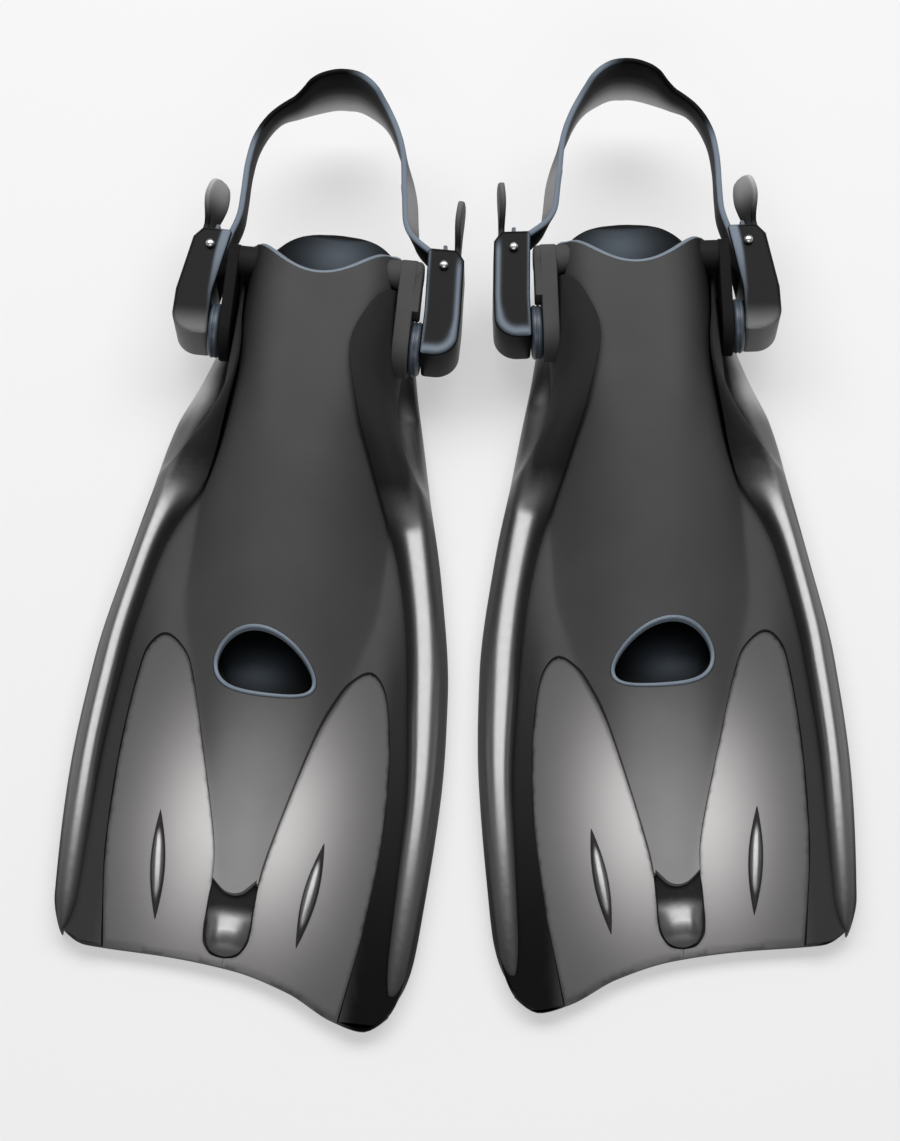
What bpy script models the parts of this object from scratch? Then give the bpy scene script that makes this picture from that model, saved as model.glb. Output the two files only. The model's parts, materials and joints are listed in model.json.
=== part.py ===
"""A pair of open-heel swim fins with swivelling buckles and adjustable heel straps.

Each fin is modelled in its own frame, in millimetres: +X towards the other fin, +Y from the blade's
tip to the heel, +Z up, with the sole on Z = 0. The left fin is the right fin mirrored.
"""
import math

import bmesh
import bpy
from mathutils import Matrix, Vector

MM = 0.001
GAP = 0.3                     # between pieces that touch
FLAT_ANGLE = math.radians(0.3)

# Where each fin lies: the place of its own origin and its splay about Z.
FINS = {
    "right": {"at": (-125.87, -283.01), "yaw": -6.33, "mirror": 1},
    "left": {"at": (119.16, -278.16), "yaw": 2.13, "mirror": -1},
}

# Heights of the flat parts of the blade.
PLATE_Z = (2.5, 6.0)
PANEL_TOP = 9.0
WEB_TOP = 10.5
SOLE_TOP = 6.0
PLATE_END = 225.0             # the blade plate stops here and the footbed starts
PLATE_INSET = 0.6
HEEL_END = 494.0

# Side edges of the rails and of the rubber body under them, as (y, x) knots.
RAIL_OUT = {
    "medial": [(22, 96.5), (60, 99.8), (140, 102.5), (200, 99.5), (268, 88.5), (341, 71), (380, 62),
               (431, 53)],
    "lateral": [(40, -89.5), (62, -94.5), (140, -98.5), (200, -96), (262, -87.5), (351, -71.5), (380, -62),
                (431, -49)],
}
RAIL_IN = {
    "medial": [(22, 86), (117, 85), (193, 78), (235, 72), (270, 64), (297, 55), (319, 44), (341, 33),
               (376, 25), (402, 32), (431, 45)],
    "lateral": [(40, -82), (130, -82), (205, -78), (243, -73), (270, -68), (291, -61), (312, -51), (335, -43),
                (371, -35), (400, -38), (431, -41)],
}
BODY_SIDE = {
    "medial": [(0, 88), (22, 90), (60, 93), (140, 96), (200, 93), (268, 82), (320, 68), (350, 56),
               (380, 49.5), (440, 48.5), (460, 46.5), (474, 41.5), (486, 31), (494, 14)],
    "lateral": [(0, -78), (40, -84), (62, -88), (140, -92), (200, -90), (262, -81), (320, -66), (350, -54),
                (380, -45.5), (440, -44.5), (460, -42.5), (474, -37.5), (486, -27), (494, -10)],
}
RAIL_SPAN = {"medial": (22.0, 431.0), "lateral": (40.0, 431.0)}
CREST_RISE = [(20, 3), (60, 9), (200, 13), (300, 13), (341, 6), (431, 2)]
CREST_LEAN = [(20, 0.2), (270, 0.25), (341, 0.5), (431, 0.5)]
CREST_DROP = [(20, 15), (60, 17), (200, 21), (300, 27), (341, 40), (431, 46)]
RAIL_EDGE = [(20, 2.2), (60, 2.5), (270, 3.8), (300, 4.3), (350, 4.6), (384, 3.4), (431, 3.2)]
# Room between a rail's underside and the body.
RAIL_SLACK = [(20, 0.9), (80, 0.9), (270, 1.6), (300, 2.1), (350, 2.5), (384, 1.5), (431, 1.2)]
SHOULDER_MIX = [(315, 0), (365, 1)]
SHOULDER_FOOT = 22.0          # height under which a rail's shoulder flares out to its foot
DOME_RAIL_Y = 310.0           # from here on the rails climb the pocket's sides
RAIL_FOOT = 5.0
RAIL_CHAMFER = 1.2
RAIL_POINTS = 9
RAIL_ROOM = [(20, 1.8), (80, 0.6), (105, 0.0)]
TIP_ROW_Y = 80.0
STATIONS = (105, 135, 165, 195, 225, 250, 275, 300, 322, 338, 348, 358, 368, 380, 396, 414, 435, 450, 462,
            474, 484, 490, HEEL_END)

# Outline of the blade's tip: a shallow scallop that reaches further on the medial side.
TIP = [(-93, 60), (-88, 44), (-74, 36), (-30, 34), (5, 30), (35, 21), (60, 8), (76, 4), (88, 12), (95, 30),
       (98, 60)]

# The foot pocket's crest, half width and cross-section along Y.
AXIS_X = 2.0
CREST = [(66, 11), (84, 14), (120, 18), (176, 28), (218, 39), (260, 52), (310, 66), (360, 75), (410, 79),
         (494, 79)]
DOME_HALF = [(66, 9), (84, 13), (120, 21), (155, 30), (205, 46), (250, 55), (300, 55), (340, 50),
             (376, 47.5), (494, 47)]
FLATNESS = [(66, 2), (200, 2.1), (300, 2.6), (350, 4.5), (390, 7), (494, 7)]
FLARE = [(66, 1.3), (250, 1.3), (330, 1.2), (370, 1), (494, 1)]

# The foot's cavity: half width and height along Y.
FOOT_HALF = [(184, 18), (196, 28), (220, 34), (260, 39), (320, 41), (400, 40.5), (470, 40), (520, 36)]
FOOT_TOP = [(184, 19), (200, 27), (260, 46), (310, 61), (360, 70.5), (410, 75), (520, 75)]
COLLAR_Y = 421.0              # the instep's edge on the centre line
COLLAR_SWEEP = 30.0           # how much further back it lies at the sides
COLLAR_HALF = 44.0

# The toe vent: an egg leaning towards the lateral side.
VENT_AT = (0.0, 197.0)
VENT_HALF = (29.5, 18.5)
VENT_LEAN = -14.0
VENT_RIM = 2.2

# Panel outlines, without the tip edge that they share.
PANEL_TIP_X = {"lateral": (-64.0, -1.2), "medial": (0.2, 63.0)}
PANEL_INNER = {
    "lateral": [(-8.6, 37.6), (-12.4, 43.8), (-13.5, 52), (-13.4, 66), (-14, 96), (-29, 155), (-40, 195)],
    "medial": [(7, 37.6), (10.8, 43.8), (11.9, 52), (12, 66), (14.5, 94), (30, 162), (40, 190)],
}
PANEL_CROWN = {
    "lateral": [(-47, 211), (-58, 220), (-66, 214), (-70, 198)],
    "medial": [(47, 202), (56, 208), (64, 200), (69, 182)],
}
PANEL_OUTER = {
    "lateral": [(-73, 150), (-72, 95), (-68, 60)],
    "medial": [(73, 150), (74, 105), (70, 55)],
}
TONGUE_TIP = [(8.6, 76), (4.8, 72), (0, 70.5), (-5.2, 72), (-9.6, 76)]
RIB_END_Y = 36.3
CENTRE_RIB_TOP = 13.0
# What is cleared around the rib's round end.
RIB_NOSE = [(-14, 78), (-14.2, 52), (-13.2, 43), (-9, 36.6), (-6, 31), (-6, 20), (6, 20), (6, 31),
            (7.6, 36.8), (11.6, 43), (12.6, 52), (12.9, 78), (11.2, 78), (11, 60), (-12.3, 60), (-12.4, 78)]
LENS_RIBS = {"lateral": ((-46, 117), (-39, 51)), "medial": ((44, 107), (36.5, 43))}
LENS_WIDTH = 8.0
LENS_HEIGHT = 2.6

# The strap swings about this axis, which lies along X through both swivel posts.
PIVOT_Y = 399.0
PIVOT_Z = 40.0
STRAP_TILT = 7.0
ANCHOR = {"medial": (53.2, 55.7), "lateral": (-52.0, -49.4)}
ANCHOR_BACK = (37.0, 18.0, 9.0)
ANCHOR_RADIUS = 17.0
EAR_OUT = 59.6                # how far the medial anchor's hump stands out
LUG = [(431.6, 7), (431.6, 64), (434, 67), (440, 67), (444, 63), (446, 54), (447, 40), (448, 7)]
LUG_SPAN = {"medial": (38.0, 52.9), "lateral": (-49.1, -34.0)}
DISC_RADIUS = 15.5
DISC_THICK = 6.0
POST_RADIUS = 4.0
POST_HEAD = 6.0
POST_REACH = 5.2              # how far the post's head stands beyond the disc

# The buckle, from its inner face outwards (X) and from the pivot towards the heel (Y).
BUCKLE_LENGTH = (-9.5, 57.0)
BUCKLE_WIDTH = 20.8
BUCKLE_HALF = 15.5
CHEEK = 2.5
BUCKLE_WALL = 3.0
BUCKLE_ROUND = 13.0
BUCKLE_OPEN_Y = 24.0          # the inner wall stops here and the strap passes
TOE_START = 17.0
TOE_IN = {"medial": 3.0, "lateral": 9.0}
ROLLER_AT = (11.8, 1.0)
ROLLER_RADIUS = 2.5
STUB_RADIUS = 1.5
LEVER_AT = (9.5, 46.0)
PIN_RADIUS = 1.2
BALL_RADIUS = 2.6

# The strap band.
BAND = 3.4
BAND_HALF = 10.5
PAD_UPPER = [(0, 21), (12, 20.5), (17, 18.5), (22, 12.5), (27, 9.5), (36, 9), (50, BAND_HALF)]
PAD_LOWER = [(0, -25), (12, -23), (28, -16), (38, -BAND_HALF), (60, -BAND_HALF)]
LOOP = [(49.5, 70), (44.5, 96), (38, 122), (27, 146), (12, 160), (0, 163), (-12, 160), (-27, 150),
        (-40, 138), (-47.5, 122), (-50, 104), (-50, 84), (-50.5, 70)]
TAIL = {"medial": [(16.4, 62), (16.2, 78), (17.2, 94)], "lateral": [(16.6, 62), (17.6, 80), (18.2, 94)]}

COLOURS = {
    "pocket_rubber": ((0.062, 0.062, 0.062), 0.55, 0.0),
    "sole_rubber": ((0.02, 0.02, 0.022), 0.75, 0.0),
    "blade_plastic": ((0.012, 0.013, 0.012), 0.4, 0.0),
    "panel_plastic": ((0.16, 0.155, 0.155), 0.42, 0.0),
    "rail_plastic": ((0.006, 0.006, 0.006), 0.16, 0.0),
    "rim_rubber": ((0.17, 0.21, 0.25), 0.4, 0.0),
    "buckle_plastic": ((0.012, 0.013, 0.015), 0.3, 0.0),
    "swivel_plastic": ((0.09, 0.12, 0.15), 0.35, 0.0),
    "pin_steel": ((0.45, 0.45, 0.46), 0.3, 1.0),
    "strap_rubber": ((0.02, 0.022, 0.025), 0.5, 0.0),
}


def along(knots, at):
    """Value at a place on a smooth curve through (place, value) knots, without overshoot."""
    if at <= knots[0][0]:
        return float(knots[0][1])
    if at >= knots[-1][0]:
        return float(knots[-1][1])
    spans = [(b[1] - a[1]) / (b[0] - a[0]) for a, b in zip(knots, knots[1:])]
    index = next(i for i in range(len(spans)) if at <= knots[i + 1][0])

    def slope(knot):
        if knot == 0:
            return spans[0]
        if knot == len(spans):
            return spans[-1]
        before, after = spans[knot - 1], spans[knot]
        return 0.0 if before * after <= 0 else 2 * before * after / (before + after)

    (x0, y0), (x1, y1) = knots[index], knots[index + 1]
    width = x1 - x0
    t = (at - x0) / width
    rise, fall = slope(index) * width, slope(index + 1) * width
    return ((2 * t ** 3 - 3 * t ** 2 + 1) * y0 + (t ** 3 - 2 * t ** 2 + t) * rise
            + (3 * t ** 2 - 2 * t ** 3) * y1 + (t ** 3 - t ** 2) * fall)


def through(points, steps):
    """Points on a Catmull-Rom curve through the given ones, with so many steps to a span."""
    ends = [points[0]] + list(points) + [points[-1]]
    result = []
    for a, b, c, d in zip(ends, ends[1:], ends[2:], ends[3:]):
        for step in range(steps):
            t = step / steps
            result.append(tuple(
                0.5 * (2 * q + (r - p) * t + (2 * p - 5 * q + 4 * r - s) * t * t
                       + (3 * q - p - 3 * r + s) * t ** 3)
                for p, q, r, s in zip(a, b, c, d)))
    result.append(tuple(float(v) for v in points[-1]))
    return result


def spread(low, high, count):
    """Evenly spaced values from low to high."""
    return [low + (high - low) * i / (count - 1) for i in range(count)]


def crest(x, y):
    """Height of the rubber body's outer surface."""
    if y <= CREST[0][0]:
        return WEB_TOP
    top = along(CREST, y)
    reach = min(abs(x - AXIS_X) / along(DOME_HALF, y), 1.0)
    full = (1 - reach ** along(FLATNESS, y)) ** along(FLARE, y)
    return WEB_TOP + max(top - WEB_TOP, 0.0) * full


def solid(sections, closed_path=False):
    """Vertices and faces of a solid whose skin joins equal closed sections."""
    count = len(sections[0])
    verts = [tuple(p) for section in sections for p in section]
    rows = len(sections)
    faces = []
    for row in range(rows if closed_path else rows - 1):
        after = (row + 1) % rows
        for i in range(count):
            j = (i + 1) % count
            faces.append((row * count + i, row * count + j, after * count + j, after * count + i))
    if not closed_path:
        faces.append(tuple(range(count)))
        faces.append(tuple(range((rows - 1) * count, rows * count)))
    return verts, faces


def prism(outline, low, high, place=lambda x, y, z: (x, y, z)):
    """A plan outline carried from one height to another."""
    return solid([[place(x, y, z) for x, y in outline] for z in (low, high)])


def lathe(profile, segments, place):
    """A profile of (distance along the axis, radius) turned about it."""
    sections = []
    for reach, radius in profile:
        turns = [math.tau * i / segments for i in range(segments)]
        sections.append([place(reach, radius * math.cos(a), radius * math.sin(a)) for a in turns])
    return solid(sections)


class Fin:
    """One fin: its frames, and the objects made in them."""

    def __init__(self, side):
        spec = FINS[side]
        self.side = side
        self.mirror = spec["mirror"]
        self.frame = self.empty("fin_frame", None, (0, 0, 0))
        self.frame.location = (spec["at"][0] * MM, spec["at"][1] * MM, 0)
        self.frame.rotation_euler = (0, 0, math.radians(spec["yaw"]))
        self.axis = self.empty("strap_axis", self.frame, (0, PIVOT_Y, PIVOT_Z))
        self.axis.rotation_euler = (math.radians(STRAP_TILT), 0, 0)

    def empty(self, name, parent, at):
        helper = bpy.data.objects.new(f"{self.side}_{name}", None)
        helper.location = Vector(at) * MM
        helper.parent = parent
        bpy.context.scene.collection.objects.link(helper)
        return helper

    def add(self, name, shape, material, parent=None, origin=(0, 0, 0), smooth=30):
        """Make a named object from a shape in the parent's frame, with its own origin."""
        verts, faces = shape
        start = Vector((origin[0] * self.mirror, origin[1], origin[2])) * MM
        mesh = bpy.data.meshes.new(f"{self.side}_{name}")
        mesh.from_pydata([Vector((x * self.mirror, y, z)) * MM - start for x, y, z in verts], [], faces)
        tidy_mesh(mesh)
        item = bpy.data.objects.new(f"{self.side}_{name}", mesh)
        item.parent = parent or self.frame
        item.location = start
        bpy.context.scene.collection.objects.link(item)
        mesh.materials.append(MATERIALS[material])
        mesh.shade_smooth()
        mesh.set_sharp_from_angle(angle=math.radians(smooth))
        return item

    def carve(self, item, shapes, parent=None, operation="DIFFERENCE"):
        """Cut shapes, given in the parent's frame, out of an object, or join them to it."""
        for shape in shapes:
            tool = self.add("tool", shape, "rail_plastic", parent)
            cut = item.modifiers.new("cut", "BOOLEAN")
            cut.operation = operation
            cut.solver = "EXACT"
            cut.object = tool
            bpy.context.view_layer.update()
            carved = item.evaluated_get(bpy.context.evaluated_depsgraph_get())
            mesh = bpy.data.meshes.new_from_object(carved)
            item.modifiers.remove(cut)
            item.data = mesh
            bpy.data.objects.remove(tool)


def tidy_mesh(mesh):
    """Merge doubled points and point the faces outwards."""
    work = bmesh.new()
    work.from_mesh(mesh)
    bmesh.ops.remove_doubles(work, verts=work.verts, dist=0.000001)
    bmesh.ops.dissolve_limit(work, angle_limit=FLAT_ANGLE, verts=work.verts, edges=work.edges)
    bmesh.ops.recalc_face_normals(work, faces=work.faces)
    work.to_mesh(mesh)
    work.free()


def make_material(name, colour, roughness, metallic):
    material = bpy.data.materials.new(name)
    material.use_nodes = True
    shader = material.node_tree.nodes["Principled BSDF"]
    shader.inputs["Base Color"].default_value = (*colour, 1)
    shader.inputs["Roughness"].default_value = roughness
    shader.inputs["Metallic"].default_value = metallic
    return material


def tip_edge(low, high, count):
    """Points of the blade's tip between two places across it."""
    return [(x, along(TIP, x)) for x in spread(low, high, count)]


def panel_outline(part, past_tip=0.0):
    """Closed outline of a panel, whose edge at the tip can be carried further out for a cutter."""
    edge = [(x, y - past_tip) for x, y in tip_edge(*PANEL_TIP_X[part], 8)]
    if part == "lateral":
        edge.reverse()
    rest = PANEL_OUTER[part][::-1] + PANEL_CROWN[part][::-1] + PANEL_INNER[part][::-1]
    return edge + through(rest, 2)


def offset(points, distance):
    """Closed outline moved outwards by a distance, or inwards if it is negative."""
    area = sum(a[0] * b[1] - b[0] * a[1] for a, b in zip(points, points[1:] + points[:1]))
    turn = 1 if area > 0 else -1
    moved = []
    for before, here, after in zip(points[-1:] + points[:-1], points, points[1:] + points[:1]):
        one = Vector((here[0] - before[0], here[1] - before[1])).normalized()
        two = Vector((after[0] - here[0], after[1] - here[1])).normalized()
        way = (one + two).normalized()
        scale = max(way.dot(two), 0.4)
        moved.append((here[0] + turn * distance * way.y / scale, here[1] - turn * distance * way.x / scale))
    return moved


def body_row(t_row, y_row, count):
    """Plan points across the body, from the lateral side to the medial one."""
    low, high = along(BODY_SIDE["lateral"], y_row), along(BODY_SIDE["medial"], y_row)
    row = []
    for i in range(count):
        swing = math.sin(math.pi * (i / (count - 1) - 0.5))
        x = (low + high) / 2 + (high - low) / 2 * swing
        y = y_row if t_row is None else along(TIP, x) + (y_row - along(TIP, x)) * t_row
        row.append((x, y))
    return row


def body_shape():
    """The rubber body before it is hollowed: a web with the foot pocket's dome on it."""
    count = 25
    rows = [body_row(t, 40 + (TIP_ROW_Y - 40) * t, count) for t in (0.0, 0.3, 1.0)]
    rows += [body_row(None, y, count) for y in STATIONS]
    floor = SOLE_TOP + GAP
    sections = []
    for row in rows:
        top = [(x, y, crest(x, y)) for x, y in row]
        base = [(x, y, floor) for x, y in reversed(row)]
        sections.append(top + base)
    return solid(sections)


def cavity_shape():
    """The room for the foot, open at the heel and at the sole."""
    sections = []
    for y in (184, 190, 200, 220, 250, 285, 320, 360, 400, 440, 520):
        half, top = along(FOOT_HALF, y), along(FOOT_TOP, y)
        arch = []
        for i in range(15):
            angle = math.pi * i / 14
            swing = math.copysign(abs(math.cos(angle)) ** 0.75, math.cos(angle))
            arch.append((AXIS_X + half * swing, y, SOLE_TOP + (top - SOLE_TOP) * math.sin(angle) ** 0.75))
        arch.append((AXIS_X - half, y, 0))
        arch.append((AXIS_X + half, y, 0))
        sections.append(arch)
    return solid(sections)


def collar_y(x):
    """Where the instep's edge lies across the pocket."""
    return COLLAR_Y + COLLAR_SWEEP * min(((x - AXIS_X) / COLLAR_HALF) ** 2, 1.2)


def collar_shape():
    """What is cut away above and behind the instep's edge, down to the sole."""
    sections = []
    for x in spread(-62, 66, 17):
        y = collar_y(x)
        sections.append([(x, y - 4, 110), (x, y, 66), (x, y + 4, 50), (x, 461, 26), (x, 468, 5),
                         (x, 530, 5), (x, 530, 110)])
    return solid(sections)


def vent_outline(shrink, count=26):
    """The vent's egg outline, drawn in by a distance."""
    lean = math.radians(VENT_LEAN)
    points = []
    for i in range(count):
        angle = math.tau * i / count
        along_axis = (VENT_HALF[0] - shrink) * math.cos(angle)
        across = (VENT_HALF[1] - shrink) * math.sin(angle) * (1 - 0.16 * math.cos(angle))
        points.append((VENT_AT[0] + along_axis * math.cos(lean) - across * math.sin(lean),
                       VENT_AT[1] + along_axis * math.sin(lean) + across * math.cos(lean)))
    return points


def vent_rim_shape():
    """The lip that lines the vent, following the pocket's slope."""
    outer, inner = vent_outline(GAP), vent_outline(GAP + VENT_RIM)
    sections = []
    for (x, y), (u, v) in zip(outer, inner):
        height = crest(x, y)
        sections.append([(x, y, height - 3), (x, y, height + 1), (u, v, height + 1), (u, v, height - 3)])
    return solid(sections, closed_path=True)


def low_rail(sign, inner, edge, outer, y):
    """Outer curve of a rail along the blade: a rounded crest that falls to the floor."""
    width = abs(outer - inner)
    rise, lean, drop = along(CREST_RISE, y), along(CREST_LEAN, y), along(CREST_DROP, y)
    start, end = Vector((inner, edge)), Vector((outer, RAIL_FOOT))
    pull_a = start + Vector((sign * width * lean, rise))
    pull_b = Vector((outer, drop))
    curve = []
    for t in spread(0, 1, RAIL_POINTS):
        curve.append((1 - t) ** 3 * start + 3 * (1 - t) ** 2 * t * pull_a
                     + 3 * (1 - t) * t * t * pull_b + t ** 3 * end)
    return curve


def dome_x(sign, z, y):
    """How far across the dome's surface reaches at a height."""
    full = max(0.0, min(1.0, (z - WEB_TOP) / (along(CREST, y) - WEB_TOP)))
    reach = (1 - full ** (1 / along(FLARE, y))) ** (1 / along(FLATNESS, y))
    return AXIS_X + sign * reach * along(DOME_HALF, y)


def over_dome(sign, inner, foot, y, lift, count):
    """Points down the dome's side from a rail's inner edge, at a distance over the surface."""
    start = crest(inner, y)
    points = []
    for i in range(count):
        z = foot + (start - foot) * math.cos(math.pi / 2 * i / (count - 1))
        x = dome_x(sign, z, y)
        turn = math.pi / 2 * (abs(x - AXIS_X) / along(DOME_HALF, y)) ** 3
        points.append(Vector((x + sign * lift * math.sin(turn), z + lift * math.cos(turn))))
    return points


def on_dome(inner, y):
    return y > DOME_RAIL_Y and abs(inner - AXIS_X) < 0.97 * along(DOME_HALF, y)


def high_rail(sign, inner, outer, thick, y):
    """Outer curve of a rail's shoulder: a shell on the pocket's side with a flared foot."""
    curve = over_dome(sign, inner, min(SHOULDER_FOOT, crest(inner, y) - 1), y, thick, RAIL_POINTS - 3)
    return curve + [Vector((curve[-1].x, SHOULDER_FOOT - 4)), Vector((outer, 11)), Vector((outer, RAIL_FOOT))]


def rail_under(sign, inner, side, y):
    """Inner curve of a rail, which clears the body."""
    lift = GAP + along(RAIL_SLACK, y)
    if on_dome(inner, y):
        curve = over_dome(sign, inner, WEB_TOP, y, lift, 6)
        curve = [Vector((sign * min(sign * p.x, sign * side), max(p.y, WEB_TOP + lift))) for p in curve]
        return curve + [Vector((side, WEB_TOP + lift))]
    return [Vector((x, crest(x, y) + lift)) for x in spread(inner, side, 7)]


def rail_profile(part, y):
    """Closed section of a rail, which caps the body's edge and reaches the floor."""
    sign = 1 if part == "medial" else -1
    inner, outer = along(RAIL_IN[part], y), along(RAIL_OUT[part], y)
    side = along(BODY_SIDE[part], y) + sign * (GAP + along(RAIL_ROOM, y))
    thick = along(RAIL_EDGE, y)
    top = low_rail(sign, inner, crest(inner, y) + GAP + thick, outer, y)
    if on_dome(inner, y):
        mix = along(SHOULDER_MIX, y)
        top = [a.lerp(b, mix) for a, b in zip(top, high_rail(sign, inner, outer, thick, y))]
    base = [Vector((outer - sign * RAIL_CHAMFER, 0)), Vector((side, 0))]
    return [(p.x, y, p.y) for p in top + base + rail_under(sign, inner, side, y)[::-1]]


def rail_shape(part):
    low, high = RAIL_SPAN[part]
    ys = [low, low + 5, low + 16, TIP_ROW_Y] + [y for y in STATIONS if y < high] + [high]
    return solid([rail_profile(part, y) for y in ys])


def lens_rib(part):
    """A slim raised rib with pointed ends, standing on its panel."""
    start, end = (Vector(p) for p in LENS_RIBS[part])
    way = (end - start).normalized()
    across = Vector((way.y, -way.x))
    base = PANEL_TOP + GAP
    sections = []
    for t in spread(0, 1, 9):
        full = max(math.sin(math.pi * t), 0.12)
        centre = start + (end - start) * t
        section = []
        for reach, height in ((-1, 0), (-0.7, 0.6), (0, 1), (0.7, 0.6), (1, 0)):
            point = centre + across * (reach * full * LENS_WIDTH / 2)
            section.append((point.x, point.y, base + height * LENS_HEIGHT * full))
        sections.append(section)
    return solid(sections)


def rib_outline():
    """The centre rib in plan: a round end at the tip and a hollow one around the tongue."""
    left = [(-12.3, 79.0), (-12.4, 66.0), (-12.4, 52.0), (-11.2, 44.5), (-7.6, 38.7), (-0.8, RIB_END_Y)]
    right = [(6.0, 38.7), (9.6, 44.5), (10.8, 52.0), (10.9, 66.0), (11.0, 79.0)]
    return through(left + right, 2) + through(TONGUE_TIP, 2)


def teardrop(radius, far, count=10):
    """Outline around a circle at the origin and a smaller one further back and up."""
    back, up, small = far
    heading = math.atan2(up, back)
    spread_angle = math.acos((radius - small) / math.hypot(back, up))
    big = [heading + spread_angle + (math.tau - 2 * spread_angle) * i / count for i in range(count + 1)]
    end = [heading - spread_angle + 2 * spread_angle * i / 6 for i in range(7)]
    points = [(radius * math.cos(a), radius * math.sin(a)) for a in big]
    return points + [(back + small * math.cos(a), up + small * math.sin(a)) for a in end]


def anchor_shape(part):
    low, high = ANCHOR[part]
    outline = teardrop(ANCHOR_RADIUS, ANCHOR_BACK)
    return solid([[(x, PIVOT_Y + y, PIVOT_Z + z) for y, z in outline] for x in (low, high)])


def lug_shape(part):
    """What joins an anchor to the pocket's side, just behind the rail's end."""
    return solid([[(x, y, z) for y, z in LUG] for x in LUG_SPAN[part]])


def ear_shape():
    """The medial anchor's hump, which fills the space in front of the buckle."""
    y, z, radius = PIVOT_Y + ANCHOR_BACK[0], PIVOT_Z + ANCHOR_BACK[1], ANCHOR_BACK[2]
    profile = [(54.0, radius - 0.6), (57.4, radius - 0.6), (EAR_OUT, radius - 2.5)]
    return lathe(profile, 14, lambda a, b, c: (a, y + b, z + c))


def disc_out(part):
    """Where the swivel disc's outer face lies, and which way is outwards."""
    if part == "medial":
        return ANCHOR[part][1] + GAP + DISC_THICK, 1
    return ANCHOR[part][0] - GAP - DISC_THICK, -1


def post_shape(part):
    """Swivel post: a thick disc, a shaft through the buckle's wall and a retaining head."""
    face, sign = disc_out(part)
    profile = [(-DISC_THICK, 13.5), (-DISC_THICK + 1.2, DISC_RADIUS), (-1.2, DISC_RADIUS), (0, 14.3),
               (0, POST_RADIUS), (3.6, POST_RADIUS), (3.6, POST_HEAD), (POST_REACH, POST_HEAD)]
    return lathe(profile, 16, lambda a, b, c: (face + sign * a, PIVOT_Y + b, PIVOT_Z + c))


class BuckleFrame:
    """Maps the buckle's own plan onto the strap's frame, whose origin is on the pivot axis."""

    def __init__(self, part):
        face, self.sign = disc_out(part)
        self.base = face + self.sign * GAP
        self.slant = math.tan(math.radians(TOE_IN[part]))

    def plan(self, x, y):
        bent = x - self.slant * max(0.0, y - TOE_START)
        return self.base + self.sign * bent, y

    def place(self, x, y, z):
        return (*self.plan(x, y), z)


def buckle_outline():
    front, back = BUCKLE_LENGTH
    centre = (BUCKLE_WIDTH - BUCKLE_ROUND, front + BUCKLE_ROUND)
    corner = [(centre[0] + BUCKLE_ROUND * math.sin(a), centre[1] - BUCKLE_ROUND * math.cos(a))
              for a in spread(0, math.pi / 2, 7)]
    return ([(0, front + 1.5), (1.5, front)] + corner
            + [(BUCKLE_WIDTH, 17), (BUCKLE_WIDTH, back - 5), (BUCKLE_WIDTH - 4, back), (0, back), (0, 17)])


def buckle_room():
    """Plan of the room inside: closed in front, open at the heel end and on the inner side."""
    wall, front = BUCKLE_WALL, BUCKLE_LENGTH[0] + BUCKLE_WALL
    reach = BUCKLE_WIDTH - 2.4
    radius = 7.5
    corner = [(reach - radius + radius * math.sin(a), front + radius - radius * math.cos(a))
              for a in spread(0, math.pi / 2, 6)]
    return ([(wall, front)] + corner
            + [(reach, 17), (reach, 70), (-3, 70), (-3, BUCKLE_OPEN_Y), (wall, BUCKLE_OPEN_Y), (wall, 17)])


def upright(x, y, low, high, radius, segments, place):
    """A round bar along Z in the buckle's plan."""
    return lathe([(low, radius), (high, radius)], segments,
                 lambda a, b, c: tuple(Vector(place(x, y, a)) + Vector((b, c, 0))))


def make_buckle(fin, part):
    frame = BuckleFrame(part)
    buckle = fin.add(f"{part}_buckle", prism(buckle_outline(), -BUCKLE_HALF, BUCKLE_HALF, frame.place),
                     "buckle_plastic", fin.axis)
    inner = BUCKLE_HALF - CHEEK
    bore = lathe([(-2, POST_RADIUS + 0.6), (BUCKLE_WALL + 2, POST_RADIUS + 0.6)], 20,
                 lambda a, b, c: (frame.base + frame.sign * a, b, c))
    fin.carve(buckle, [
        prism(buckle_room(), -inner, inner, frame.place),
        bore,
        upright(*ROLLER_AT, -20, 20, STUB_RADIUS + 0.4, 12, frame.place),
        upright(*LEVER_AT, -20, 20, PIN_RADIUS + GAP, 12, frame.place),
    ], fin.axis)


def make_roller(fin, part):
    """The bar that the strap turns back around, with a stub in each cheek."""
    frame = BuckleFrame(part)
    span = BUCKLE_HALF - CHEEK - 0.3
    end = BUCKLE_HALF - 0.2
    profile = [(-end, STUB_RADIUS), (-span, STUB_RADIUS), (-span, ROLLER_RADIUS), (span, ROLLER_RADIUS),
               (span, STUB_RADIUS), (end, STUB_RADIUS)]
    centre = frame.place(*ROLLER_AT, 0)
    shape = lathe(profile, 12, lambda a, b, c: (centre[0] + b, centre[1] + c, a))
    fin.add(f"{part}_roller", shape, "swivel_plastic", fin.axis, centre)


def make_rivet(fin, part):
    """The lever's pin, with a ball head above and a flat head below."""
    frame = BuckleFrame(part)
    top = BUCKLE_HALF + GAP
    centre = frame.place(*LEVER_AT, 0)
    ball = [(top + BALL_RADIUS * (0.75 - 0.75 * math.cos(a)), BALL_RADIUS * math.sin(a))
            for a in spread(math.radians(50), math.radians(160), 4)]
    pin = [(-top - 0.8, 2.4), (-top, 2.4), (-top, PIN_RADIUS), (top, PIN_RADIUS), (top, ball[0][1])]
    profile = pin + ball
    shape = lathe(profile, 10, lambda a, b, c: (centre[0] + b, centre[1] + c, a))
    fin.add(f"{part}_rivet", shape, "pin_steel", fin.axis, centre)


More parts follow.
